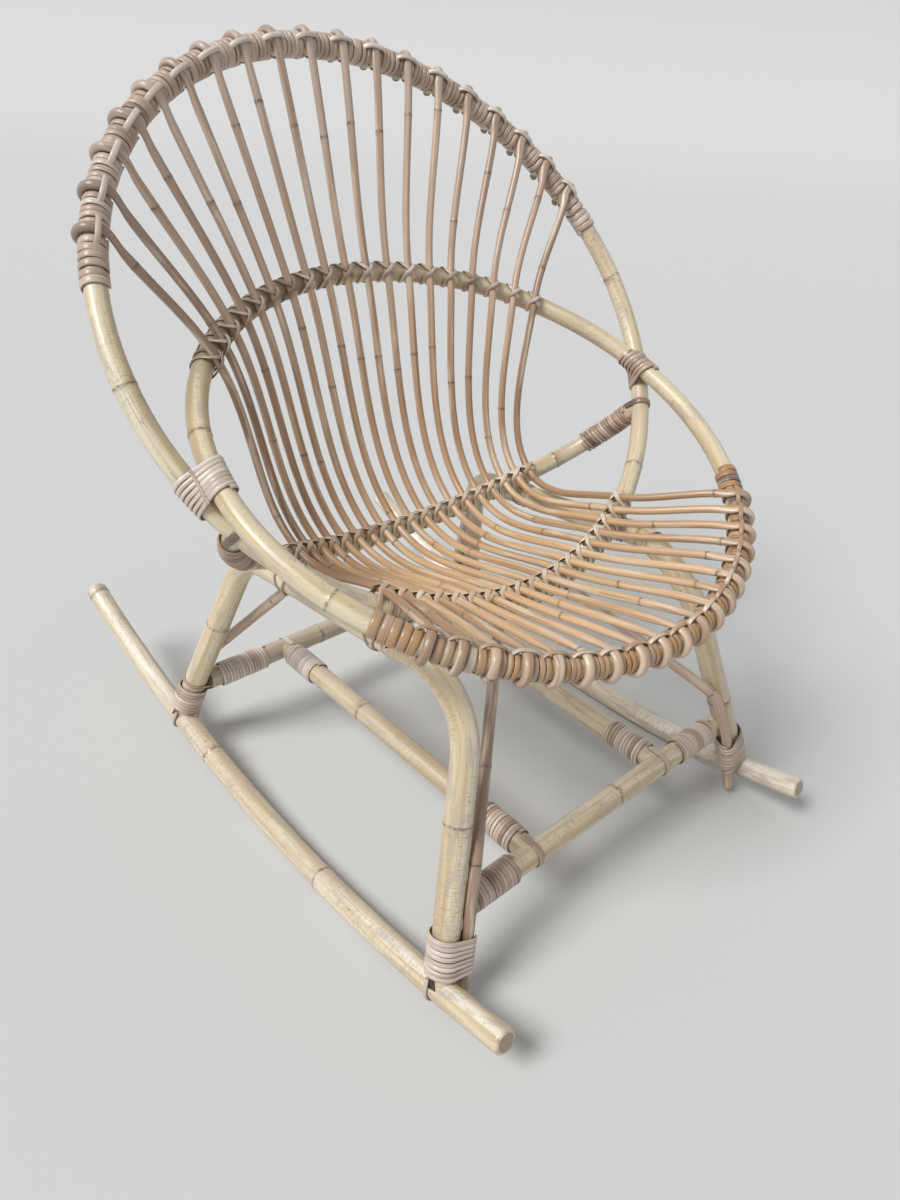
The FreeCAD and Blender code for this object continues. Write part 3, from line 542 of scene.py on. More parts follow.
class Look(Nodes):
    """A procedural material, with a short call for each kind of node that it uses."""

    def __init__(self, name):
        super().__init__(bpy.data.materials.new(name))
        self.shader = self.nodes["Principled BSDF"]

    def mark(self, name, kind="Fac"):
        node = self.nodes.new("ShaderNodeAttribute")
        node.attribute_name = name
        return node.outputs[kind]

    def grain(self, across, along, detail=3.0):
        """Noise drawn out along the fibres; across and along are its scales in each millimetre."""
        scaled = self.nodes.new("ShaderNodeVectorMath")
        scaled.operation = "MULTIPLY"
        self.feed(scaled, {0: self.mark("fibre", "Vector"), 1: (across, across, along)})
        texture = self.nodes.new("ShaderNodeTexNoise")
        return self.feed(texture, {"Vector": scaled.outputs["Vector"], "Scale": 1.0, "Detail": detail})["Fac"]

    def ramp(self, value, *stops):
        """Colours at places from 0 to 1."""
        node = self.nodes.new("ShaderNodeValToRGB")
        elements = node.color_ramp.elements
        for i in (0, -1):
            elements[i].position = stops[i][0]
            elements[i].color = (*stops[i][1], 1)
        for place, colour in stops[1:-1]:
            elements.new(place).color = (*colour, 1)
        return self.feed(node, {"Fac": value})["Color"]

    def span(self, value, low, high, from_value=0.0, to_value=1.0):
        """The value's way from low to high, as from_value to to_value."""
        node = self.nodes.new("ShaderNodeMapRange")
        node.interpolation_type = "SMOOTHSTEP"
        inputs = {"Value": value, "From Min": low, "From Max": high, "To Min": from_value, "To Max": to_value}
        return self.feed(node, inputs)["Result"]

    def mix(self, share, one, other, blend="MIX"):
        node = self.nodes.new("ShaderNodeMix")
        node.data_type = "RGBA"
        node.blend_type = blend
        return self.feed(node, {"Factor": share, "A": one, "B": other})["Result"]

    def stain(self, colour, value, low, high, share, stained):
        """The colour, stained up to a share where the value goes from low to high."""
        return self.mix(self.span(value, low, high, 0.0, share), colour, stained)

    def finish(self, colour, streak, lines, roughness, depth):
        """Joins the colour to the shader. Its roughness goes from one value to another with the streaks, and
        streaks and lines stand out by a depth in millimetres."""
        bump = self.nodes.new("ShaderNodeBump")
        self.feed(bump, {"Distance": depth * MM, "Height": self.maths("ADD", lines, streak)})
        self.feed(self.shader, {"Base Color": colour, "Normal": bump.outputs["Normal"],
                                "Roughness": self.span(streak, *ROUGHNESS_SPAN, *roughness),
                                "Coat Weight": SKIN_GLOSS, "Coat Roughness": SKIN_GLOSS_ROUGHNESS})


ROUGHNESS_SPAN = (0.25, 0.75)
SKIN_GLOSS = 0.35
SKIN_GLOSS_ROUGHNESS = 0.25
DARK_LINE = (0.10, 0.065, 0.045)
CUT_FACE = (0.47, 0.37, 0.26)
CUT_PORES = (0.22, 0.15, 0.09)
RING_STAIN = (0.33, 0.22, 0.13)


def cut_and_rings(look, colour, ring_share):
    """Dark uneven lines at the node rings, a stain beside parts of each, and porous cut ends."""
    beside = look.maths("MULTIPLY", look.mark("ring_band_and_edge_shade"), look.span(look.grain(0.07, 0.05), 0.42, 0.62))
    colour = look.stain(colour, beside, 0.15, 1.0, 0.7, RING_STAIN)
    line = look.maths("MULTIPLY", look.mark("ring"), look.span(look.grain(0.35, 0.35), 0.30, 0.60))
    colour = look.mix(look.maths("MULTIPLY", line, ring_share), colour, DARK_LINE)
    pores = look.stain(CUT_FACE, look.grain(1.6, 1.6), 0.42, 0.62, 1.0, CUT_PORES)
    return look.mix(look.mark("cut"), colour, pores)


def pole_look():
    """Peeled pale rattan: long cream and straw streaks, dark flecks and fine fibre lines."""
    look = Look("rattan_pole")
    streak = look.grain(0.10, 0.0035)
    colour = look.ramp(streak, (0.26, (0.48, 0.36, 0.20)), (0.40, (0.66, 0.54, 0.36)),
                       (0.52, (0.78, 0.68, 0.52)), (0.70, (0.84, 0.78, 0.68)))
    tone = look.ramp(look.mark("tone"), (0.0, (0.62, 0.60, 0.60)), (0.6, (0.93, 0.90, 0.79)),
                     (0.8, (0.98, 0.97, 0.93)), (1.0, (1.04, 1.09, 1.20)))
    colour = look.mix(1.0, colour, tone, "MULTIPLY")
    patches = look.grain(0.03, 0.008)
    colour = look.stain(colour, patches, 0.46, 0.68, 0.6, (0.60, 0.46, 0.33))
    scuffs = look.grain(0.09, 0.02, 5.0)
    colour = look.stain(colour, scuffs, 0.53, 0.64, 0.6, (0.50, 0.42, 0.37))
    colour = look.stain(colour, look.mark("brown"), 0.0, 1.0, 0.62, (0.36, 0.26, 0.17))
    lines = look.grain(1.3, 0.012)
    colour = look.stain(colour, lines, 0.50, 0.72, 0.55, (0.40, 0.28, 0.16))
    flecks = look.grain(0.75, 0.10, 2.0)
    colour = look.stain(colour, flecks, 0.65, 0.75, 0.75, (0.20, 0.13, 0.08))
    specks = look.grain(0.5, 0.45, 1.0)
    colour = look.stain(colour, specks, 0.72, 0.78, 0.6, (0.14, 0.10, 0.08))
    cracks = look.span(look.grain(0.10, 0.75, 2.0), 0.56, 0.62)
    crazed = look.span(look.grain(0.025, 0.006, 1.0), 0.50, 0.60, 0.0, 0.5)
    colour = look.mix(look.maths("MULTIPLY", cracks, crazed), colour, (0.38, 0.27, 0.17))
    colour = cut_and_rings(look, colour, 0.8)
    look.finish(colour, streak, lines, (0.27, 0.45), 0.25)
    return look


def rod_look():
    """Thin rattan with its skin on: brown at the back, orange-tan in the seat, paler at the curls."""
    look = Look("rattan_rod")
    along = look.ramp(look.mark("run"), (0.0, (0.52, 0.46, 0.45)), (0.08, (0.57, 0.45, 0.37)),
                      (0.45, (0.56, 0.37, 0.23)), (0.60, (0.66, 0.43, 0.23)), (0.90, (0.72, 0.50, 0.30)),
                      (1.0, (0.60, 0.49, 0.40)))
    tone = look.ramp(look.mark("tone"), (0.0, (0.55, 0.48, 0.46)), (0.35, (0.92, 0.88, 0.86)),
                     (1.0, (1.12, 1.10, 1.08)))
    colour = look.mix(1.0, along, tone, "MULTIPLY")
    streak = look.grain(0.28, 0.006)
    colour = look.stain(colour, streak, 0.44, 0.70, 0.65, (0.32, 0.18, 0.09))
    colour = look.stain(colour, look.grain(0.14, 0.012), 0.52, 0.68, 0.65, (0.74, 0.62, 0.48))
    lines = look.grain(2.2, 0.02)
    colour = look.stain(colour, lines, 0.52, 0.75, 0.4, (0.22, 0.13, 0.07))
    colour = cut_and_rings(look, colour, 0.85)
    look.finish(colour, streak, lines, (0.28, 0.46), 0.2)
    return look


def cane_look(name, *tones):
    """Split cane with its glossy skin outward; each strand takes its place on a scale of tones."""
    look = Look(name)
    colour = look.ramp(look.mark("tone"), *tones)
    streak = look.grain(0.5, 0.010)
    colour = look.stain(colour, streak, 0.42, 0.72, 0.5, (0.28, 0.17, 0.10))
    colour = look.stain(colour, look.grain(0.22, 0.02), 0.54, 0.74, 0.5, (0.66, 0.55, 0.44))
    lines = look.grain(3.0, 0.02)
    colour = look.stain(colour, lines, 0.50, 0.75, 0.35, (0.20, 0.12, 0.07))
    # Painted shade: the sides and underside of each strand are darkened nearly to black, where the gaps
    # between strands fall dark
    colour = look.stain(colour, look.mark("ring_band_and_edge_shade"), 0.3, 1.0, 0.75, (0.12, 0.075, 0.05))
    colour = look.mix(look.mark("cut"), colour, CUT_FACE)
    look.finish(colour, streak, lines, (0.28, 0.45), 0.2)
    return look


poles = pole_look()
rod_skin = rod_look()
grey_cane = cane_look("cane_weathered", (0.0, (0.30, 0.20, 0.14)), (0.5, (0.57, 0.43, 0.34)),
                      (1.0, (0.77, 0.68, 0.61)))
gold_cane = cane_look("cane_golden", (0.0, (0.16, 0.11, 0.10)), (0.1, (0.46, 0.24, 0.10)),
                      (0.5, (0.47, 0.27, 0.13)), (0.85, (0.44, 0.29, 0.18)), (1.0, (0.66, 0.54, 0.43)))
tan_cane = cane_look("cane_tan", (0.0, (0.56, 0.41, 0.26)), (0.5, (0.72, 0.57, 0.40)),
                     (1.0, (0.80, 0.69, 0.54)))
pale_cane = cane_look("cane_lashing", (0.0, (0.10, 0.08, 0.07)), (0.2, (0.36, 0.25, 0.18)),
                      (0.5, (0.64, 0.50, 0.41)), (1.0, (0.82, 0.75, 0.71)))


# Frame poles

def scattered_rings(length, spacing, seed):
    """Node rings at uneven distances along a pole."""
    chance = random.Random(seed)
    rings = []
    place = spacing * chance.uniform(*FIRST_RING)
    while place < length - RINGLESS_END:
        rings.append(place)
        place += spacing * chance.uniform(*NEXT_RING)
    return rings


def single_pole(node, points, radius, rings, seed, look=poles, slot="pole", **shape):
    skin = Skin()
    rattan_pole(skin, points, radius, rings, seed, **shape)
    skin.piece(node + "_rattan", look, slot, node)


def closed_hoop(node, hoop, joint, angles, seed, **shape):
    """A hoop whose ends meet at a joint, with node rings at these angles."""
    rings = [Line(hoop.points(joint, joint + (angle - joint) % 360)).length for angle in angles]
    points = hoop.points(joint + HOOP_JOINT_GAP, joint + (360 - HOOP_JOINT_GAP))
    single_pole(node, points, HOOP_RADIUS, rings, seed, **shape)


def hoop_poles():
    """Both hoops are closed: their ends meet under the cane wrap, between two rods."""
    closed_hoop("back_hoop", back_hoop, ROD_STEP_TOP / 2, BACK_HOOP_RINGS, 1.62)
    front_joint = 180 + ROD_STEP_FRONT / 2
    closed_hoop("seat_hoop", seat_hoop, front_joint, SEAT_HOOP_RINGS, 2.57, brown=MID_BACK_SHARE)
    ends = [(back_hoop.point(side * RAIL_END_BACK), back_hoop.heading(side * RAIL_END_BACK), HOOP_RADIUS)
            for side, _ in SIDES]
    inset = HOOP_RADIUS * seat_rail.degrees_per_mm(90)
    single_pole("seat_rail", seat_rail.points(-90 + inset, 90 - inset), RAIL_RADIUS,
                scattered_rings(*RAIL_RING_SPACING, 13), 3.45, seats=ends)


def rocker_station(side, y):
    slope = (y - ROCKER_LOW_Y) / ROCKER_BEND_RADIUS
    z = ROCKER_RADIUS + ROCKER_BEND_RADIUS * (1 - math.sqrt(1 - slope * slope))
    return Vector((side * ROCKER_X, y, z)), Vector((0, math.sqrt(1 - slope * slope), slope))


def rocker_poles():
    front, rear = ROCKER_ENDS
    for (side, name), places in zip(SIDES, (LEFT_ROCKER_RINGS, RIGHT_ROCKER_RINGS)):
        points = through([rocker_station(side, y) for y in (front, ROCKER_LOW_Y, rear)])
        steps = list(zip(points, points[1:]))
        rings = [sum((other - one).length for one, other in steps if other.y < y) for y in places]
        single_pole(name + "_rocker", points, ROCKER_RADIUS, rings, 4.9 + 0.05 * side, sides=26,
                    rounding=ROCKER_END_ROUNDING)


def leg_arches():
    corners = (REAR_FOOT, REAR_BEND, ARCH_RISE, FRONT_BEND, FRONT_FOOT)
    for (side, name), (from_rear, from_front) in zip(SIDES, (LEFT_LEG_RINGS, RIGHT_LEG_RINGS)):
        stations = bent_stations([mirrored(corner, side) for corner in corners], ARCH_BEND_RADII)
        seats = []
        for end, (foot, heading) in ((0, stations[0]), (-1, stations[-1])):
            seats.append((*rocker_station(side, foot.y), ROCKER_RADIUS))
            up = heading if end == 0 else -heading
            stations[end] = (foot + up * (ROCKER_RADIUS + LEG_RADIUS), heading)
        points = through(stations)
        rings = [*from_rear, Line(points).length - from_front]
        single_pole(name + "_leg_arch", points, LEG_RADIUS, rings, 6.6 - 0.1 * side, sides=24, seats=seats)


def cross_stretchers():
    inset = ACROSS * LEG_RADIUS
    for node, end, foot, bend, places, seed in (
            ("front_stretcher", FRONT_STRETCHER_END, FRONT_FOOT, FRONT_BEND, FRONT_STRETCHER_RINGS, 7.73),
            ("rear_stretcher", REAR_STRETCHER_END, REAR_FOOT, REAR_BEND, REAR_STRETCHER_RINGS, 3.06)):
        seats = [(mirrored(foot, side), mirrored(bend - foot, side).normalized(), LEG_RADIUS)
                 for side, _ in SIDES]
        points = through([(mirrored(end, -1) + inset, ACROSS), (end - inset, ACROSS)])
        rings = [x - points[0].x for x in places]
        single_pole(node, points, STRETCHER_RADIUS, rings, seed, seats=seats)


def long_stretcher_ends(side):
    """Where a long stretcher meets the axes of the front and the rear stretcher."""
    return [Vector((side * LONG_STRETCHER_X, end.y, end.z))
            for end in (FRONT_STRETCHER_END, REAR_STRETCHER_END)]


def long_stretchers():
    for side, name in SIDES:
        front, rear = long_stretcher_ends(side)
        along = (rear - front).normalized()
        inset = along * STRETCHER_RADIUS
        seats = [(place, ACROSS, STRETCHER_RADIUS) for place in (front, rear)]
        points = through([(front + inset, along), (rear - inset, along)])
        rings = [y - points[0].y - LONG_STRETCHER_RING_SHIFT * side for y in LONG_STRETCHER_RINGS]
        seed = 8.5 + 0.15 * side
        single_pole(name + "_long_stretcher", points, STRETCHER_RADIUS, rings, seed, seats=seats)


def brace_poles():
    for side, name in SIDES:
        for place, corners, tone in (("front", FRONT_BRACE, 0.1), ("rear", REAR_BRACE, 0.0)):
            corners = [mirrored(corner, side) for corner in corners]
            corners[-1] += (corners[-2] - corners[-1]).normalized() * BRACE_TOP_GAP
            points = through(bent_stations(corners, BRACE_BEND_RADII))
            rings = scattered_rings(*BRACE_RING_SPACING, 50 + side)
            single_pole("%s_%s_brace" % (place, name), points, BRACE_RADIUS, rings, 9.25 + 0.3 * side + tone,
                        rod_skin, "rod", sides=14, swell=0.7, shades=BRACE_SHADES)


# Rods of the bucket

def hook_stations(hoop, degrees, arriving):
    """A rod's end: it arrives on the sitter's side of the rim and curls round its outside."""
    centre = hoop.point(degrees)
    outward = hoop.outward(degrees)
    reach = HOOP_RADIUS + ROD_RADIUS * ROD_FLAT + CLEARANCE
    first = -math.degrees(math.atan2(arriving.dot(hoop.face), arriving.dot(outward)))
    stations = []
    for step in range(HOOK_STEPS + 1):
        angle = math.radians(first + (ROD_HOOK_END - first) * step / HOOK_STEPS)
        place = centre + (hoop.face * math.cos(angle) + outward * math.sin(angle)) * reach
        stations.append((place, outward * math.cos(angle) - hoop.face * math.sin(angle)))
    return stations


def rod_places(number):
    """Angles of a rod on the poles that it crosses; number runs from -9 to 9."""
    return (number * ROD_STEP_TOP, number * ROD_STEP_MIDDLE, number * ROD_STEP_RAIL,
            180 - number * ROD_STEP_LOW, 180 - number * ROD_STEP_FRONT)


def rod_crossings(number):
    """Place, heading and normal of a rod where it lies on the mid back, the rail and the low bar."""
    top, middle, rail, low, front = rod_places(number)
    ends = [back_hoop.point(top), seat_hoop.point(middle), seat_rail.point(rail), back_hoop.point(low),
            seat_hoop.point(front)]
    axes = [seat_hoop.heading(middle), seat_rail.heading(rail), back_hoop.heading(low)]
    inside = seat_hoop.centre + Vector((0, 0, 2 * HOOP_RADIUS))
    crossings = []
    for i, axis in enumerate(axes, 1):
        travel = ((ends[i + 1] - ends[i]).normalized() + (ends[i] - ends[i - 1]).normalized()).normalized()
        normal = axis.cross(travel).normalized()
        if normal.dot(inside - ends[i]) < 0:
            normal = -normal
        place = ends[i] + normal * (HOOP_RADIUS + ROD_RADIUS + CLEARANCE)
        crossings.append((place, square_part(travel, normal).normalized(), normal))
    return crossings


def rod_hooks(number):
    """Stations of a rod's hook on the head rim and of its curl on the front rim."""
    top, _, _, _, front = rod_places(number)
    crossings = rod_crossings(number)
    upper = hook_stations(back_hoop, top, (back_hoop.point(top) - crossings[0][0]).normalized())
    rim = seat_hoop.point(front) + seat_hoop.face * HOOP_RADIUS
    lower = hook_stations(seat_hoop, front, (rim - crossings[2][0]).normalized())
    return upper, lower


def rod_stations(number):
    crossings = rod_crossings(number)
    upper, lower = rod_hooks(number)
    stations = [(place, -heading) for place, heading in reversed(upper)]
    down = (crossings[0][0] - upper[0][0]).normalized()
    stations.append((upper[0][0] + down * ROD_BEND_ROOM, down))
    stations += [(place, heading) for place, heading, _ in crossings]
    forward = (lower[0][0] - crossings[2][0]).normalized()
    stations.append((lower[0][0] - forward * ROD_BEND_ROOM, forward))
    return stations + lower


def hook_flattening(number):
    """A rod is pressed flat where it reaches a rim, and a little where it curls round it."""
    top, _, _, _, front = rod_places(number)
    rims = [(hoop.point(angle), hoop.heading(angle))
            for hoop, angle in ((back_hoop, top), (seat_hoop, front))]

    def flat(to_end, place):
        centre, heading = min(rims, key=lambda rim: (place - rim[0]).length)
        curl = (1 - ROD_FLAT) * clamped((CURL_FLAT_FROM - to_end) / CURL_FLAT_FADE)
        nearness = clamped(ROOT_FLAT_BREADTH - abs(to_end - ROOT_FLAT_PLACE) / ROOT_FLAT_FADE)
        root = (ROD_FLAT - ROD_ROOT_FLAT) * nearness
        return curl + root, square_part(place - centre, heading).normalized()
    return flat


def rods():
    """The rods, darkest at both edges of the bucket."""
    chance = random.Random(7)
    for order, number in enumerate(ROD_NUMBERS, 1):
        points = through(rod_stations(number))
        tone = MIDDLE_ROD_TONE + (EDGE_ROD_TONE - MIDDLE_ROD_TONE) * (number / LAST_ROD) ** 2
        tone += ROD_TONE_SPREAD * (chance.random() - 0.5)
        seed = order + clamped(tone, *ROD_TONE_RANGE)
        rings = scattered_rings(Line(points).length, ROD_RING_STEP, order)
        single_pole("rod_%02d" % order, points, ROD_RADIUS, rings, seed, rod_skin, "rod", sides=12, swell=0.6,
                    flat=hook_flattening(number), curl=ROD_CURL)


# Windings of split cane

def sway(way, seed, size):
    """How far a strand strays along its pole."""
    most, wave = size
    return most * slow_noise(way / wave, seed, SWAY_LAYER)


def lift(way, seed, size):
    """How far a strand stands off its pole."""
    most, wave = size
    return most * (1 + slow_noise(way / wave, seed, LIFT_LAYER))


def hoop_winding(skin, hoop, first, last, radius, size, seed):
    """A strand wound round a stretch of a hoop: it lies square on the rim and steps on at the hidden side."""
    length = (hoop.point(last) - hoop.point(first)).length
    turns = max(1, round(length / size[0]))
    step_start, step_end = HIDDEN_SIDE
    strand = []
    for i in range(turns * STEPS_IN_A_TURN):
        way = step_end - 360 + 360 * i / STEPS_IN_A_TURN
        whole, part = divmod(way - step_end, 360)
        stepped = whole + 1 + clamped((part + step_end - 360 - step_start) / (step_end - step_start))
        share = (stepped + 0.5 + sway(way, seed, RIM_SWAY)) / turns
        degrees = first + (last - first) * share
        angle = math.radians(way)
        out = hoop.face * math.cos(angle) + hoop.outward(degrees) * math.sin(angle)
        reach = radius + CLEARANCE + lift(way, seed, RIM_LIFT)
        strand.append((hoop.point(degrees) + out * reach, out))
    cane_strand(skin, strand, (WINDING_FILL * (length / turns), size[1]), seed)


def pole_winding(skin, start, axis, radius, turns, size, seed):
    """A strand wound round a straight pole."""
    aside = axis.cross(Vector((0, 0, 1))).normalized()
    above = aside.cross(axis)
    count = turns * STEPS_IN_A_TURN
    strand = []
    for i in range(count + 1):
        share = i / count
        angle = 2 * math.pi * turns * share
        out = above * math.cos(angle) + aside * math.sin(angle)
        along = turns * LASHING_PITCH * share + sway(angle, seed, POLE_SWAY)
        reach = radius + CLEARANCE + lift(angle, seed, POLE_LIFT)
        strand.append((start + axis * along + out * reach, out))
    cane_strand(skin, strand, size, seed)


def rim_bridge(skin, hoop, degrees, hook, size, seed):
    """Cane that runs along a rim over the root of a rod, from one bundle of turns to the next."""
    around = hook[0][0].lerp(hook[1][0], BRIDGE_PLACE_ON_HOOK) - hoop.point(degrees)
    around = square_part(around, hoop.heading(degrees)).normalized()
    low = HOOP_RADIUS + CLEARANCE
    high = HOOP_RADIUS + ROD_RADIUS * (ROD_FLAT + ROD_ROOT_FLAT)
    strand = []
    for i in range(BRIDGE_STEPS + 1):
        along = BRIDGE_HALF_LENGTH * (2 * i / BRIDGE_STEPS - 1)
        here = degrees + along * hoop.degrees_per_mm(degrees)
        rise = low + (high - low) * math.cos(math.pi / 2 * (along / BRIDGE_HALF_LENGTH) ** 2)
        strand.append((hoop.point(here) + around * rise, around))
    cane_strand(skin, strand, size, seed)


def rim_wrap(name, hoop, middle, step, run_on, size, bridge, gap, look, paling, end_of_rod):
    """Cane wound round a rim in every gap between two rods, and on past the outermost ones. It grows paler
    by the same share from each gap to the next."""
    skin = Skin()
    chance = random.Random(len(name))
    for number in range(-LAST_ROD - 1, LAST_ROD + 1):
        start = middle + (number * step if number >= -LAST_ROD else -LAST_ROD * step - run_on)
        end = middle + ((number + 1) * step if number < LAST_ROD else LAST_ROD * step + run_on)
        start += (ROD_RADIUS + gap) * hoop.degrees_per_mm(start)
        end -= (ROD_RADIUS + gap) * hoop.degrees_per_mm(end)
        strip = size if -LAST_ROD <= number < LAST_ROD else (END_STRIP_WIDENING * size[0], size[1])
        tone = RIM_TONE + paling * number + chance.uniform(-RIM_TONE_SPREAD, RIM_TONE_SPREAD)
        seed = number + 20 + clamped(tone, *RIM_TONE_RANGE)
        hoop_winding(skin, hoop, start, end, HOOP_RADIUS, strip, seed)
    for number in ROD_NUMBERS:
        degrees = rod_places(number)[end_of_rod]
        hook = rod_hooks(number)[end_of_rod]
        rim_bridge(skin, hoop, degrees, hook, bridge, number + 60 + chance.uniform(*BRIDGE_TONES))
    skin.piece(name + "_strands", look, "cane", name)


def rim_wraps():
    rim_wrap("top_rim_wrap", back_hoop, 0, ROD_STEP_TOP, TOP_RUN_ON, TOP_RIM_CANE, TOP_BRIDGE_CANE,
             TOP_RIM_GAP, grey_cane, 0.0, 0)
    rim_wrap("front_rim_wrap", seat_hoop, 180, ROD_STEP_FRONT, FRONT_RUN_ON, FRONT_RIM_CANE,
             FRONT_BRIDGE_CANE, FRONT_RIM_GAP, gold_cane, FRONT_PALING, -1)


def flat_strand(skin, stations, size, seed):
    """A strand through stations of (place, heading, way out)."""
    strand = [(stations[0][0], stations[0][2])]
    for (start, heading, out), (end, arrival, next_out) in zip(stations, stations[1:]):
        run = through([(start, heading), (end, arrival)])[1:]
        outs = [out.lerp(next_out, (i + 1) / len(run)).normalized() for i in range(len(run))]
        strand += zip(run, outs)
    cane_strand(skin, strand, size, seed)


def cross_tie(skin, centre, axis, travel, normal, radius, size, seed):
    """A strand round a pole that crosses twice over the rod on it, in the shape of an X."""
    width, thickness = size
    reach = radius + CLEARANCE
    beside = ROD_RADIUS + TIE_ROOM * width
    rod = radius + CLEARANCE + ROD_RADIUS
    shoulder = reach * TIE_SHOULDER
    across = normal.cross(axis)
    slant = travel.dot(axis) / travel.dot(across)

    def at(along, over, out):
        return centre + axis * (along + slant * over) + across * over + normal * out

    def climb(start, crown):
        """From under the pole on one side of the rod, over the rod, and down on its other side."""
        over_rod = (axis * (-2 * start - 2 * slant * shoulder) - across * (2 * shoulder)).normalized()
        lean = across * -TIE_LEAN
        return [(at(start, 0, -reach), across, -normal), (at(start, reach, 0), normal, across),
                (at(start, shoulder, rod), (normal + lean).normalized(), (across + normal).normalized()),
                (at(0, 0, crown), over_rod, normal),
                (at(-start, -shoulder, rod), (lean - normal).normalized(), (normal - across).normalized()),
                (at(-start, -reach, 0), -normal, -across)]

    crown = rod + ROD_RADIUS + CLEARANCE
    stations = climb(-beside, crown) + climb(beside, crown + thickness + CLEARANCE)
    flat_strand(skin, stations, size, seed)


def running_strand(skin, hoop, span):
    """The strand that runs on behind a row of ties, along the upper edge of the pole."""
    strand = []
    for i in range(RUNNING_STEPS + 1):
        angle = span * (i / RUNNING_STEPS - 0.5)
        out = hoop.outward(angle) * RUNNING_OUTWARD + hoop.face * RUNNING_UPWARD
        strand.append((hoop.point(angle) + out * (HOOP_RADIUS + CLEARANCE), out))
    cane_strand(skin, strand, RUNNING_CANE, 0.02)


def rod_ties():
    """One tie where each rod lies on the middle of the back, the seat rail and the low bar."""
    chance = random.Random(3)
    kinds = (("mid_back_ties", seat_hoop, HOOP_RADIUS, MID_TIE_CANE, grey_cane),
             ("seat_rail_ties", seat_rail, RAIL_RADIUS, SEAT_TIE_CANE, tan_cane),
             ("low_bar_ties", back_hoop, HOOP_RADIUS, SEAT_TIE_CANE, tan_cane))
    for order, (name, hoop, radius, size, look) in enumerate(kinds):
        skin = Skin()
        for number in ROD_NUMBERS:
            degrees = rod_places(number)[order + 1]
            _, travel, normal = rod_crossings(number)[order]
            cross_tie(skin, hoop.point(degrees), hoop.heading(degrees), travel, normal, radius, size,
                      number + 20 + chance.random())
        if hoop is seat_hoop:
            running_strand(skin, hoop, 2 * ROD_STEP_MIDDLE * LAST_ROD)
        skin.piece(name + "_strands", look, "cane", name)


def lashing_turns(skin, pair_at, axis, radii, turns, size, seed):
    """A strand wound round two poles side by side; pair_at gives their centres along the way."""
    first_reach, second_reach = (radius + size[1] * LASHING_SLACK for radius in radii)
    count = turns * STEPS_ROUND_TWO
    strand = []
    for i in range(count + 1):
        share = i / count
        first, second = pair_at(share)
        toward = square_part(second - first, axis)
        lean = math.acos((first_reach - second_reach) / toward.length)
        apart = toward.length * math.sin(lean)
        toward = toward.normalized()
        aside = axis.cross(toward)
        half_second = second_reach * lean
        stretches = (half_second, apart, first_reach * (2 * math.pi - 2 * lean), apart, half_second)
        way = sum(stretches) * ((i % STEPS_ROUND_TWO) / STEPS_ROUND_TWO)
        stretch = 0
        while way > stretches[stretch]:
            way -= stretches[stretch]
            stretch += 1
        angles = (way / second_reach, lean, lean + way / first_reach, -lean, way / second_reach - lean)
        slides = (0.0, way / apart, 1.0, 1 - way / apart, 0.0)
        out = toward * math.cos(angles[stretch]) + aside * math.sin(angles[stretch])
        near_second = first + toward * (toward.dot(second - first)) + out * second_reach
        near_first = first + out * first_reach
        stray = LASHING_SWAY * slow_noise(share * turns * LASHING_WAVES_IN_A_TURN, seed, SWAY_LAYER)
        strand.append((near_second.lerp(near_first, slides[stretch]) + axis * stray, out))
    cane_strand(skin, strand, size, seed)


def strap(skin, centre, axis, pull, radius, length, size, seed):
    """A strand that holds the end of one pole to another: over, round the far side and back."""
    reach = radius + CLEARANCE
    side = axis.cross(pull).normalized()
    stations = [(centre + side * reach + pull * length, -pull, side), (centre + side * reach, -pull, side),
                (centre - pull * reach, -side, -pull), (centre - side * reach, pull, -side),
                (centre - side * reach + pull * length, pull, -side)]
    flat_strand(skin, stations, size, seed)


def crossing_lashings():
    """Cane round both hoops where their sides pass each other, and a thin strand across its turns."""
    skin = Skin()
    reach = HOOP_RADIUS + CROSSING_ROOM
    for side, _ in SIDES:
        def pair_at(share):
            along = (share - 0.5) * CROSSING_LENGTH
            back = back_hoop.point(CROSSING_BACK - along * back_hoop.degrees_per_mm(CROSSING_BACK))
            seat = seat_hoop.point(CROSSING_SEAT - along * seat_hoop.degrees_per_mm(CROSSING_SEAT))
            return mirrored(back, side), mirrored(seat, side)
        axis = (sum(pair_at(1), Vector()) - sum(pair_at(0), Vector())).normalized()
        seed = 70.6 - 0.22 * side
        lashing_turns(skin, pair_at, axis, (reach, reach), CROSSING_TURNS, CROSSING_CANE, seed)
        strand = []
        for i in range(DIAGONAL_STEPS + 1):
            back, seat = pair_at(i / DIAGONAL_STEPS)
            out = axis.cross(seat - back).normalized() * side
            place = back.lerp(seat, DIAGONAL_START - DIAGONAL_RUN * i / DIAGONAL_STEPS)
            strand.append((place + out * (reach + CROSSING_CANE[1] + CLEARANCE), out))
        cane_strand(skin, strand, ARCH_TIE_CANE, 71.4)
    skin.piece("crossing_lashings_strands", grey_cane, "cane", "crossing_lashings")


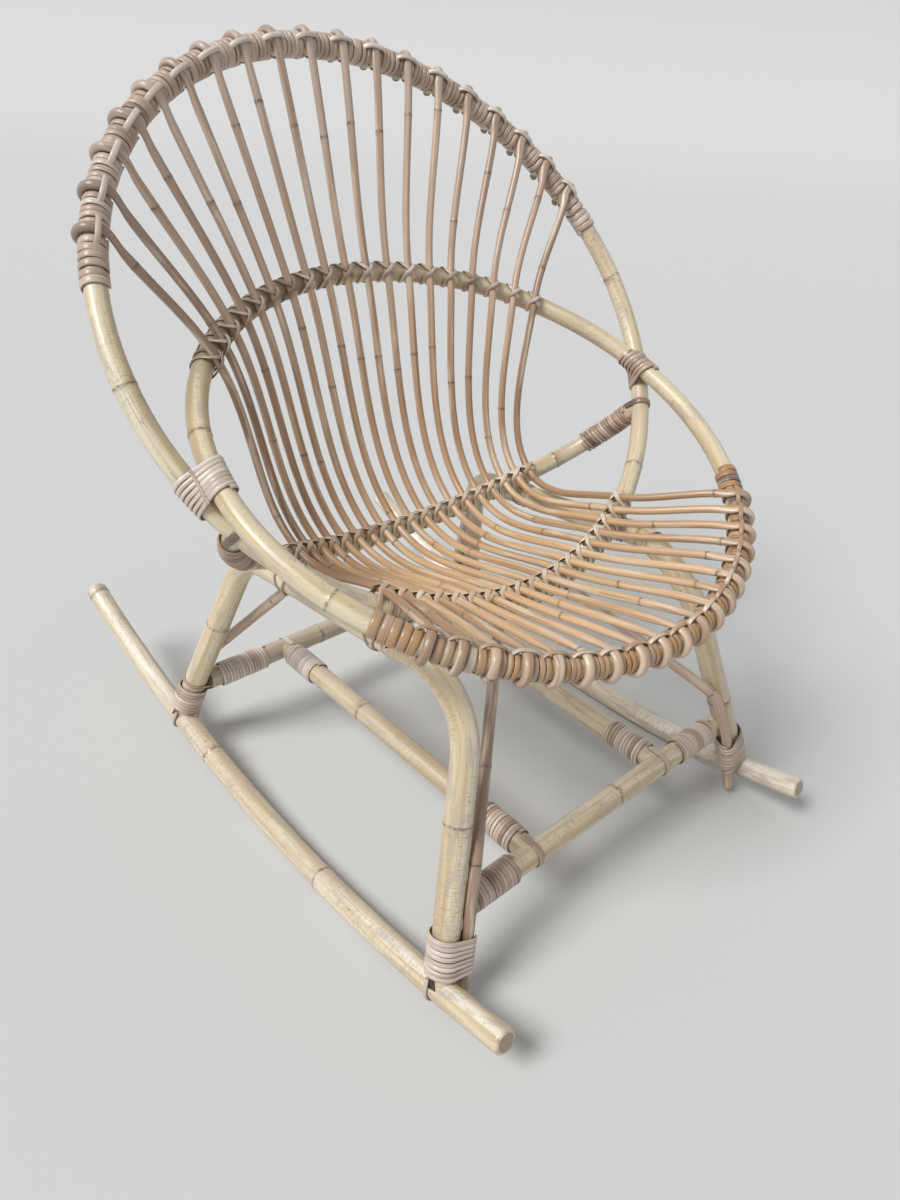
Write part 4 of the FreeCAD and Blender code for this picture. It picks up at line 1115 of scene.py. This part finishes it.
def rail_end_wraps():
    """Each end of the seat rail is wound with cane and strapped round the back hoop."""
    skin = Skin()
    start = HOOP_RADIUS + RAIL_WRAP_START
    per_mm = seat_rail.degrees_per_mm(90)
    for side, _ in SIDES:
        first = side * (90 - start * per_mm)
        last = side * (90 - (start + RAIL_WRAP_LENGTH) * per_mm)
        hoop_winding(skin, seat_rail, first, last, RAIL_RADIUS, LASHING_CANE, 80.26 + 0.02 * side)
        place = back_hoop.point(side * RAIL_END_BACK)
        axis = back_hoop.heading(side * RAIL_END_BACK)
        pull = square_part(seat_rail.point(first) - place, axis).normalized()
        length = HOOP_RADIUS + STRAP_OVERLAP
        strap(skin, place, axis, pull, HOOP_RADIUS, length, STRAP_CANE, 82.08 + 0.02 * side)
    skin.piece("seat_rail_end_wraps_strands", pale_cane, "cane", "seat_rail_end_wraps")


def foot_lashings():
    """Cane round each leg and its brace, and a strand that goes down round the rocker."""
    skin = Skin()
    room = (LEG_RADIUS + FOOT_LEG_ROOM, BRACE_RADIUS + FOOT_BRACE_ROOM)
    for side, _ in SIDES:
        for foot, bend, brace, turns, inward in ((FRONT_FOOT, FRONT_BEND, FRONT_BRACE, FRONT_FOOT_TURNS, 1),
                                                 (REAR_FOOT, REAR_BEND, REAR_BRACE, REAR_FOOT_TURNS, -1)):
            foot, bend = mirrored(foot, side), mirrored(bend, side)
            stub, along = mirrored(brace[0], side), mirrored(brace[1], side)
            low = foot.z + ROCKER_RADIUS + FOOT_LIFT

            def pair_at(share):
                z = low + turns * FOOT_PITCH * share
                leg = foot + (bend - foot) * ((z - foot.z) / (bend.z - foot.z))
                return leg, stub + (along - stub) * ((z - stub.z) / (along.z - stub.z))
            leg_axis = (bend - foot).normalized()
            rocker, heading = rocker_station(side, foot.y + inward * FOOT_STRAP_SHIFT)
            leg, beside = pair_at(0.5)
            axis = heading.cross(-ACROSS).lerp(leg_axis, FOOT_ALONG_LEG)
            axis = (axis + (beside - leg).normalized() * FOOT_DIP).normalized()
            seed = 90.5 + 0.1 * inward - 0.1 * side
            lashing_turns(skin, pair_at, axis, room, turns, FOOT_CANE, seed)
            pull = square_part(leg_axis, heading).normalized()
            strap(skin, rocker, heading, pull, ROCKER_RADIUS, ROCKER_RADIUS, LASHING_CANE, seed + 5)
    skin.piece("foot_lashings_strands", pale_cane, "cane", "foot_lashings")


def cross_stretcher_wraps():
    """Cane on the ends of the cross stretchers, and a strap from each rear one round its leg."""
    skin = Skin()
    for side, _ in SIDES:
        inward = ACROSS * -side
        for end in (FRONT_STRETCHER_END, REAR_STRETCHER_END):
            start = mirrored(end, side) + inward * CROSS_WRAP_START
            seed = 100.75 + 0.04 * side + end.y / WRAP_TONE_LENGTH
            pole_winding(skin, start, inward, STRETCHER_RADIUS, CROSS_WRAP_TURNS, LASHING_CANE, seed)
        rise = (REAR_STRETCHER_END.z - REAR_FOOT.z) / (REAR_BEND.z - REAR_FOOT.z)
        leg = mirrored(REAR_FOOT.lerp(REAR_BEND, rise), side)
        axis = mirrored(REAR_BEND - REAR_FOOT, side).normalized()
        pull = square_part(inward, axis).normalized()
        seed = 104.3 + 0.05 * side
        strap(skin, leg, axis, pull, LEG_RADIUS, REAR_STRAP_LENGTH, THIN_STRAP_CANE, seed)
    skin.piece("cross_stretcher_wraps_strands", pale_cane, "cane", "cross_stretcher_wraps")


def long_stretcher_wraps():
    """Cane on the ends of the long stretchers, and a strap from each round the cross stretcher."""
    skin = Skin()
    length = STRETCHER_RADIUS + STRAP_OVERLAP
    for side, _ in SIDES:
        front, rear = long_stretcher_ends(side)
        for end, other in ((front, rear), (rear, front)):
            inward = (other - end).normalized()
            start = end + inward * (STRETCHER_RADIUS + LONG_WRAP_START)
            seed = 110.75 + 0.04 * side + end.y / WRAP_TONE_LENGTH
            pole_winding(skin, start, inward, STRETCHER_RADIUS, LONG_WRAP_TURNS, LASHING_CANE, seed)
            strap(skin, end, ACROSS, inward, STRETCHER_RADIUS, length, STRAP_CANE, seed + 3.95)
    skin.piece("long_stretcher_wraps_strands", pale_cane, "cane", "long_stretcher_wraps")


def arch_ties():
    """Two strands over each seat pole and round the leg arch under it."""
    skin = Skin()
    width, thickness = ARCH_TIE_CANE
    for side, _ in SIDES:
        _, _, rail, low, _ = rod_places(side * ARCH_TIE_NUMBER)
        arch_run = (back_hoop.point(low) - seat_rail.point(rail)).normalized()
        for hoop, degrees, radius in ((seat_rail, rail, RAIL_RADIUS), (back_hoop, low, HOOP_RADIUS)):
            axis = hoop.heading(degrees)
            normal = axis.cross(arch_run).normalized()
            if normal.z < 0:
                normal = -normal
            pole = hoop.point(degrees)
            arch = pole - normal * (radius + ARCH_GAP + LEG_RADIUS)
            lateral = square_part(axis, arch_run).normalized()
            ahead = arch_run * ((radius + CLEARANCE) * ARCH_TIE_AHEAD)
            slant = arch_run * -ARCH_TIE_SLANT
            for way in (-1, 1):
                layer = (way + 1) * thickness / 2
                reach = radius + CLEARANCE + layer
                out = LEG_RADIUS + 2 * CLEARANCE
                beside = lateral * (way * out)
                top = pole + axis * (way * width * ARCH_TIE_APART)
                tail = top + normal * (reach + thickness) + arch_run * ARCH_TIE_TAIL
                stations = [(top + normal * reach, arch_run, normal),
                            (top + arch_run * reach, -normal, arch_run),
                            (arch + ahead - beside, (slant - normal).normalized(), -lateral * way),
                            (arch - normal * (out + layer), (slant + lateral * way).normalized(), -normal),
                            (arch - ahead + beside, (slant + normal).normalized(), lateral * way),
                            (top - arch_run * reach, normal, -arch_run),
                            (tail, arch_run, normal)]
                flat_strand(skin, stations, ARCH_TIE_CANE, 120.35 + 0.2 * side)
    skin.piece("arch_ties_strands", grey_cane, "cane", "arch_ties")


hoop_poles()
rocker_poles()
leg_arches()
cross_stretchers()
long_stretchers()
brace_poles()
rods()
rim_wraps()
rod_ties()
crossing_lashings()
rail_end_wraps()
foot_lashings()
cross_stretcher_wraps()
long_stretcher_wraps()
arch_ties()


# Studio, in metres: a pale floor that sweeps up far behind the chair, a broad soft lamp and an even sky

FLOOR_COLOUR = (0.62, 0.62, 0.61)
FLOOR_ROUGHNESS = 0.9
FLOOR_START = -14.0
FLOOR_HALF_WIDTH = 16.0
FLOOR_TURN = math.radians(44)
SWEEP_START = 6.0
SWEEP_RADIUS = 3.0
SWEEP_STEPS = 12
SUN_STRENGTH = 2.6
SUN_BREADTH = math.radians(24)
SUN_DIRECTION = Vector((0.62, -0.08, -0.75))
SKY_COLOUR = (0.95, 0.98, 1.0)
SKY_STRENGTH = 0.42
BACKDROP_COLOUR = (0.66, 0.66, 0.65)


def studio_floor():
    """A sheet across the camera's view: level under the chair, then curved up."""
    view = Vector((math.sin(FLOOR_TURN), math.cos(FLOOR_TURN), 0))
    beside = Vector((view.y, -view.x, 0)) * FLOOR_HALF_WIDTH
    outline = [view * FLOOR_START, view * SWEEP_START]
    for step in range(1, SWEEP_STEPS + 1):
        angle = math.radians(90 * step / SWEEP_STEPS)
        outline.append(view * (SWEEP_START + SWEEP_RADIUS * math.sin(angle))
                       + Vector((0, 0, SWEEP_RADIUS * (1 - math.cos(angle)))))
    places = [place + beside * side for place in outline for side in (-1, 1)]
    faces = [(2 * i, 2 * i + 1, 2 * i + 3, 2 * i + 2) for i in range(len(outline) - 1)]
    mesh = bpy.data.meshes.new("studio_floor")
    mesh.from_pydata(places, [], faces)
    mesh.shade_smooth()
    look = Look("studio_floor")
    look.feed(look.shader, {"Base Color": FLOOR_COLOUR, "Roughness": FLOOR_ROUGHNESS})
    mesh.materials.append(look.owner)
    floor = bpy.data.objects.new("studio_floor", mesh)
    bpy.context.scene.collection.objects.link(floor)


def studio_light():
    sun = bpy.data.lights.new("soft_sun", "SUN")
    sun.energy = SUN_STRENGTH
    sun.angle = SUN_BREADTH
    lamp = bpy.data.objects.new("soft_sun", sun)
    lamp.rotation_euler = SUN_DIRECTION.to_track_quat("-Z", "Y").to_euler()
    bpy.context.scene.collection.objects.link(lamp)


def studio_sky():
    """An even light from all round, which looks like the floor where it is seen or mirrored."""
    sky = Nodes(bpy.data.worlds.new("studio"))
    light = sky.nodes["Background"]
    sky.feed(light, {"Color": SKY_COLOUR, "Strength": SKY_STRENGTH})
    backdrop = sky.nodes.new("ShaderNodeBackground")
    sky.feed(backdrop, {"Color": BACKDROP_COLOUR})
    rays = sky.nodes.new("ShaderNodeLightPath").outputs
    seen = sky.maths("MAXIMUM", rays["Is Camera Ray"], rays["Is Glossy Ray"])
    seen = sky.maths("MAXIMUM", seen, rays["Is Transmission Ray"])
    shown = sky.nodes.new("ShaderNodeMixShader")
    sky.feed(shown, {"Fac": seen, 1: light.outputs["Background"], 2: backdrop.outputs["Background"]})
    sky.feed(sky.nodes["World Output"], {"Surface": shown.outputs["Shader"]})
    bpy.context.scene.world = sky.owner


def photo_camera():
    """The place and lens from which the chair was photographed."""
    camera = bpy.data.cameras.new("photo_camera")
    camera.lens = 27.11
    camera.sensor_width = 36.0
    holder = bpy.data.objects.new("photo_camera", camera)
    holder.location = (-0.6656, -0.7285, 0.8505)
    holder.rotation_euler = (math.radians(57.62), math.radians(-3.28), math.radians(-42.08))
    bpy.context.scene.collection.objects.link(holder)
    bpy.context.scene.camera = holder


studio_floor()
studio_light()
studio_sky()
photo_camera()
bpy.context.scene.view_settings.view_transform = "Standard"
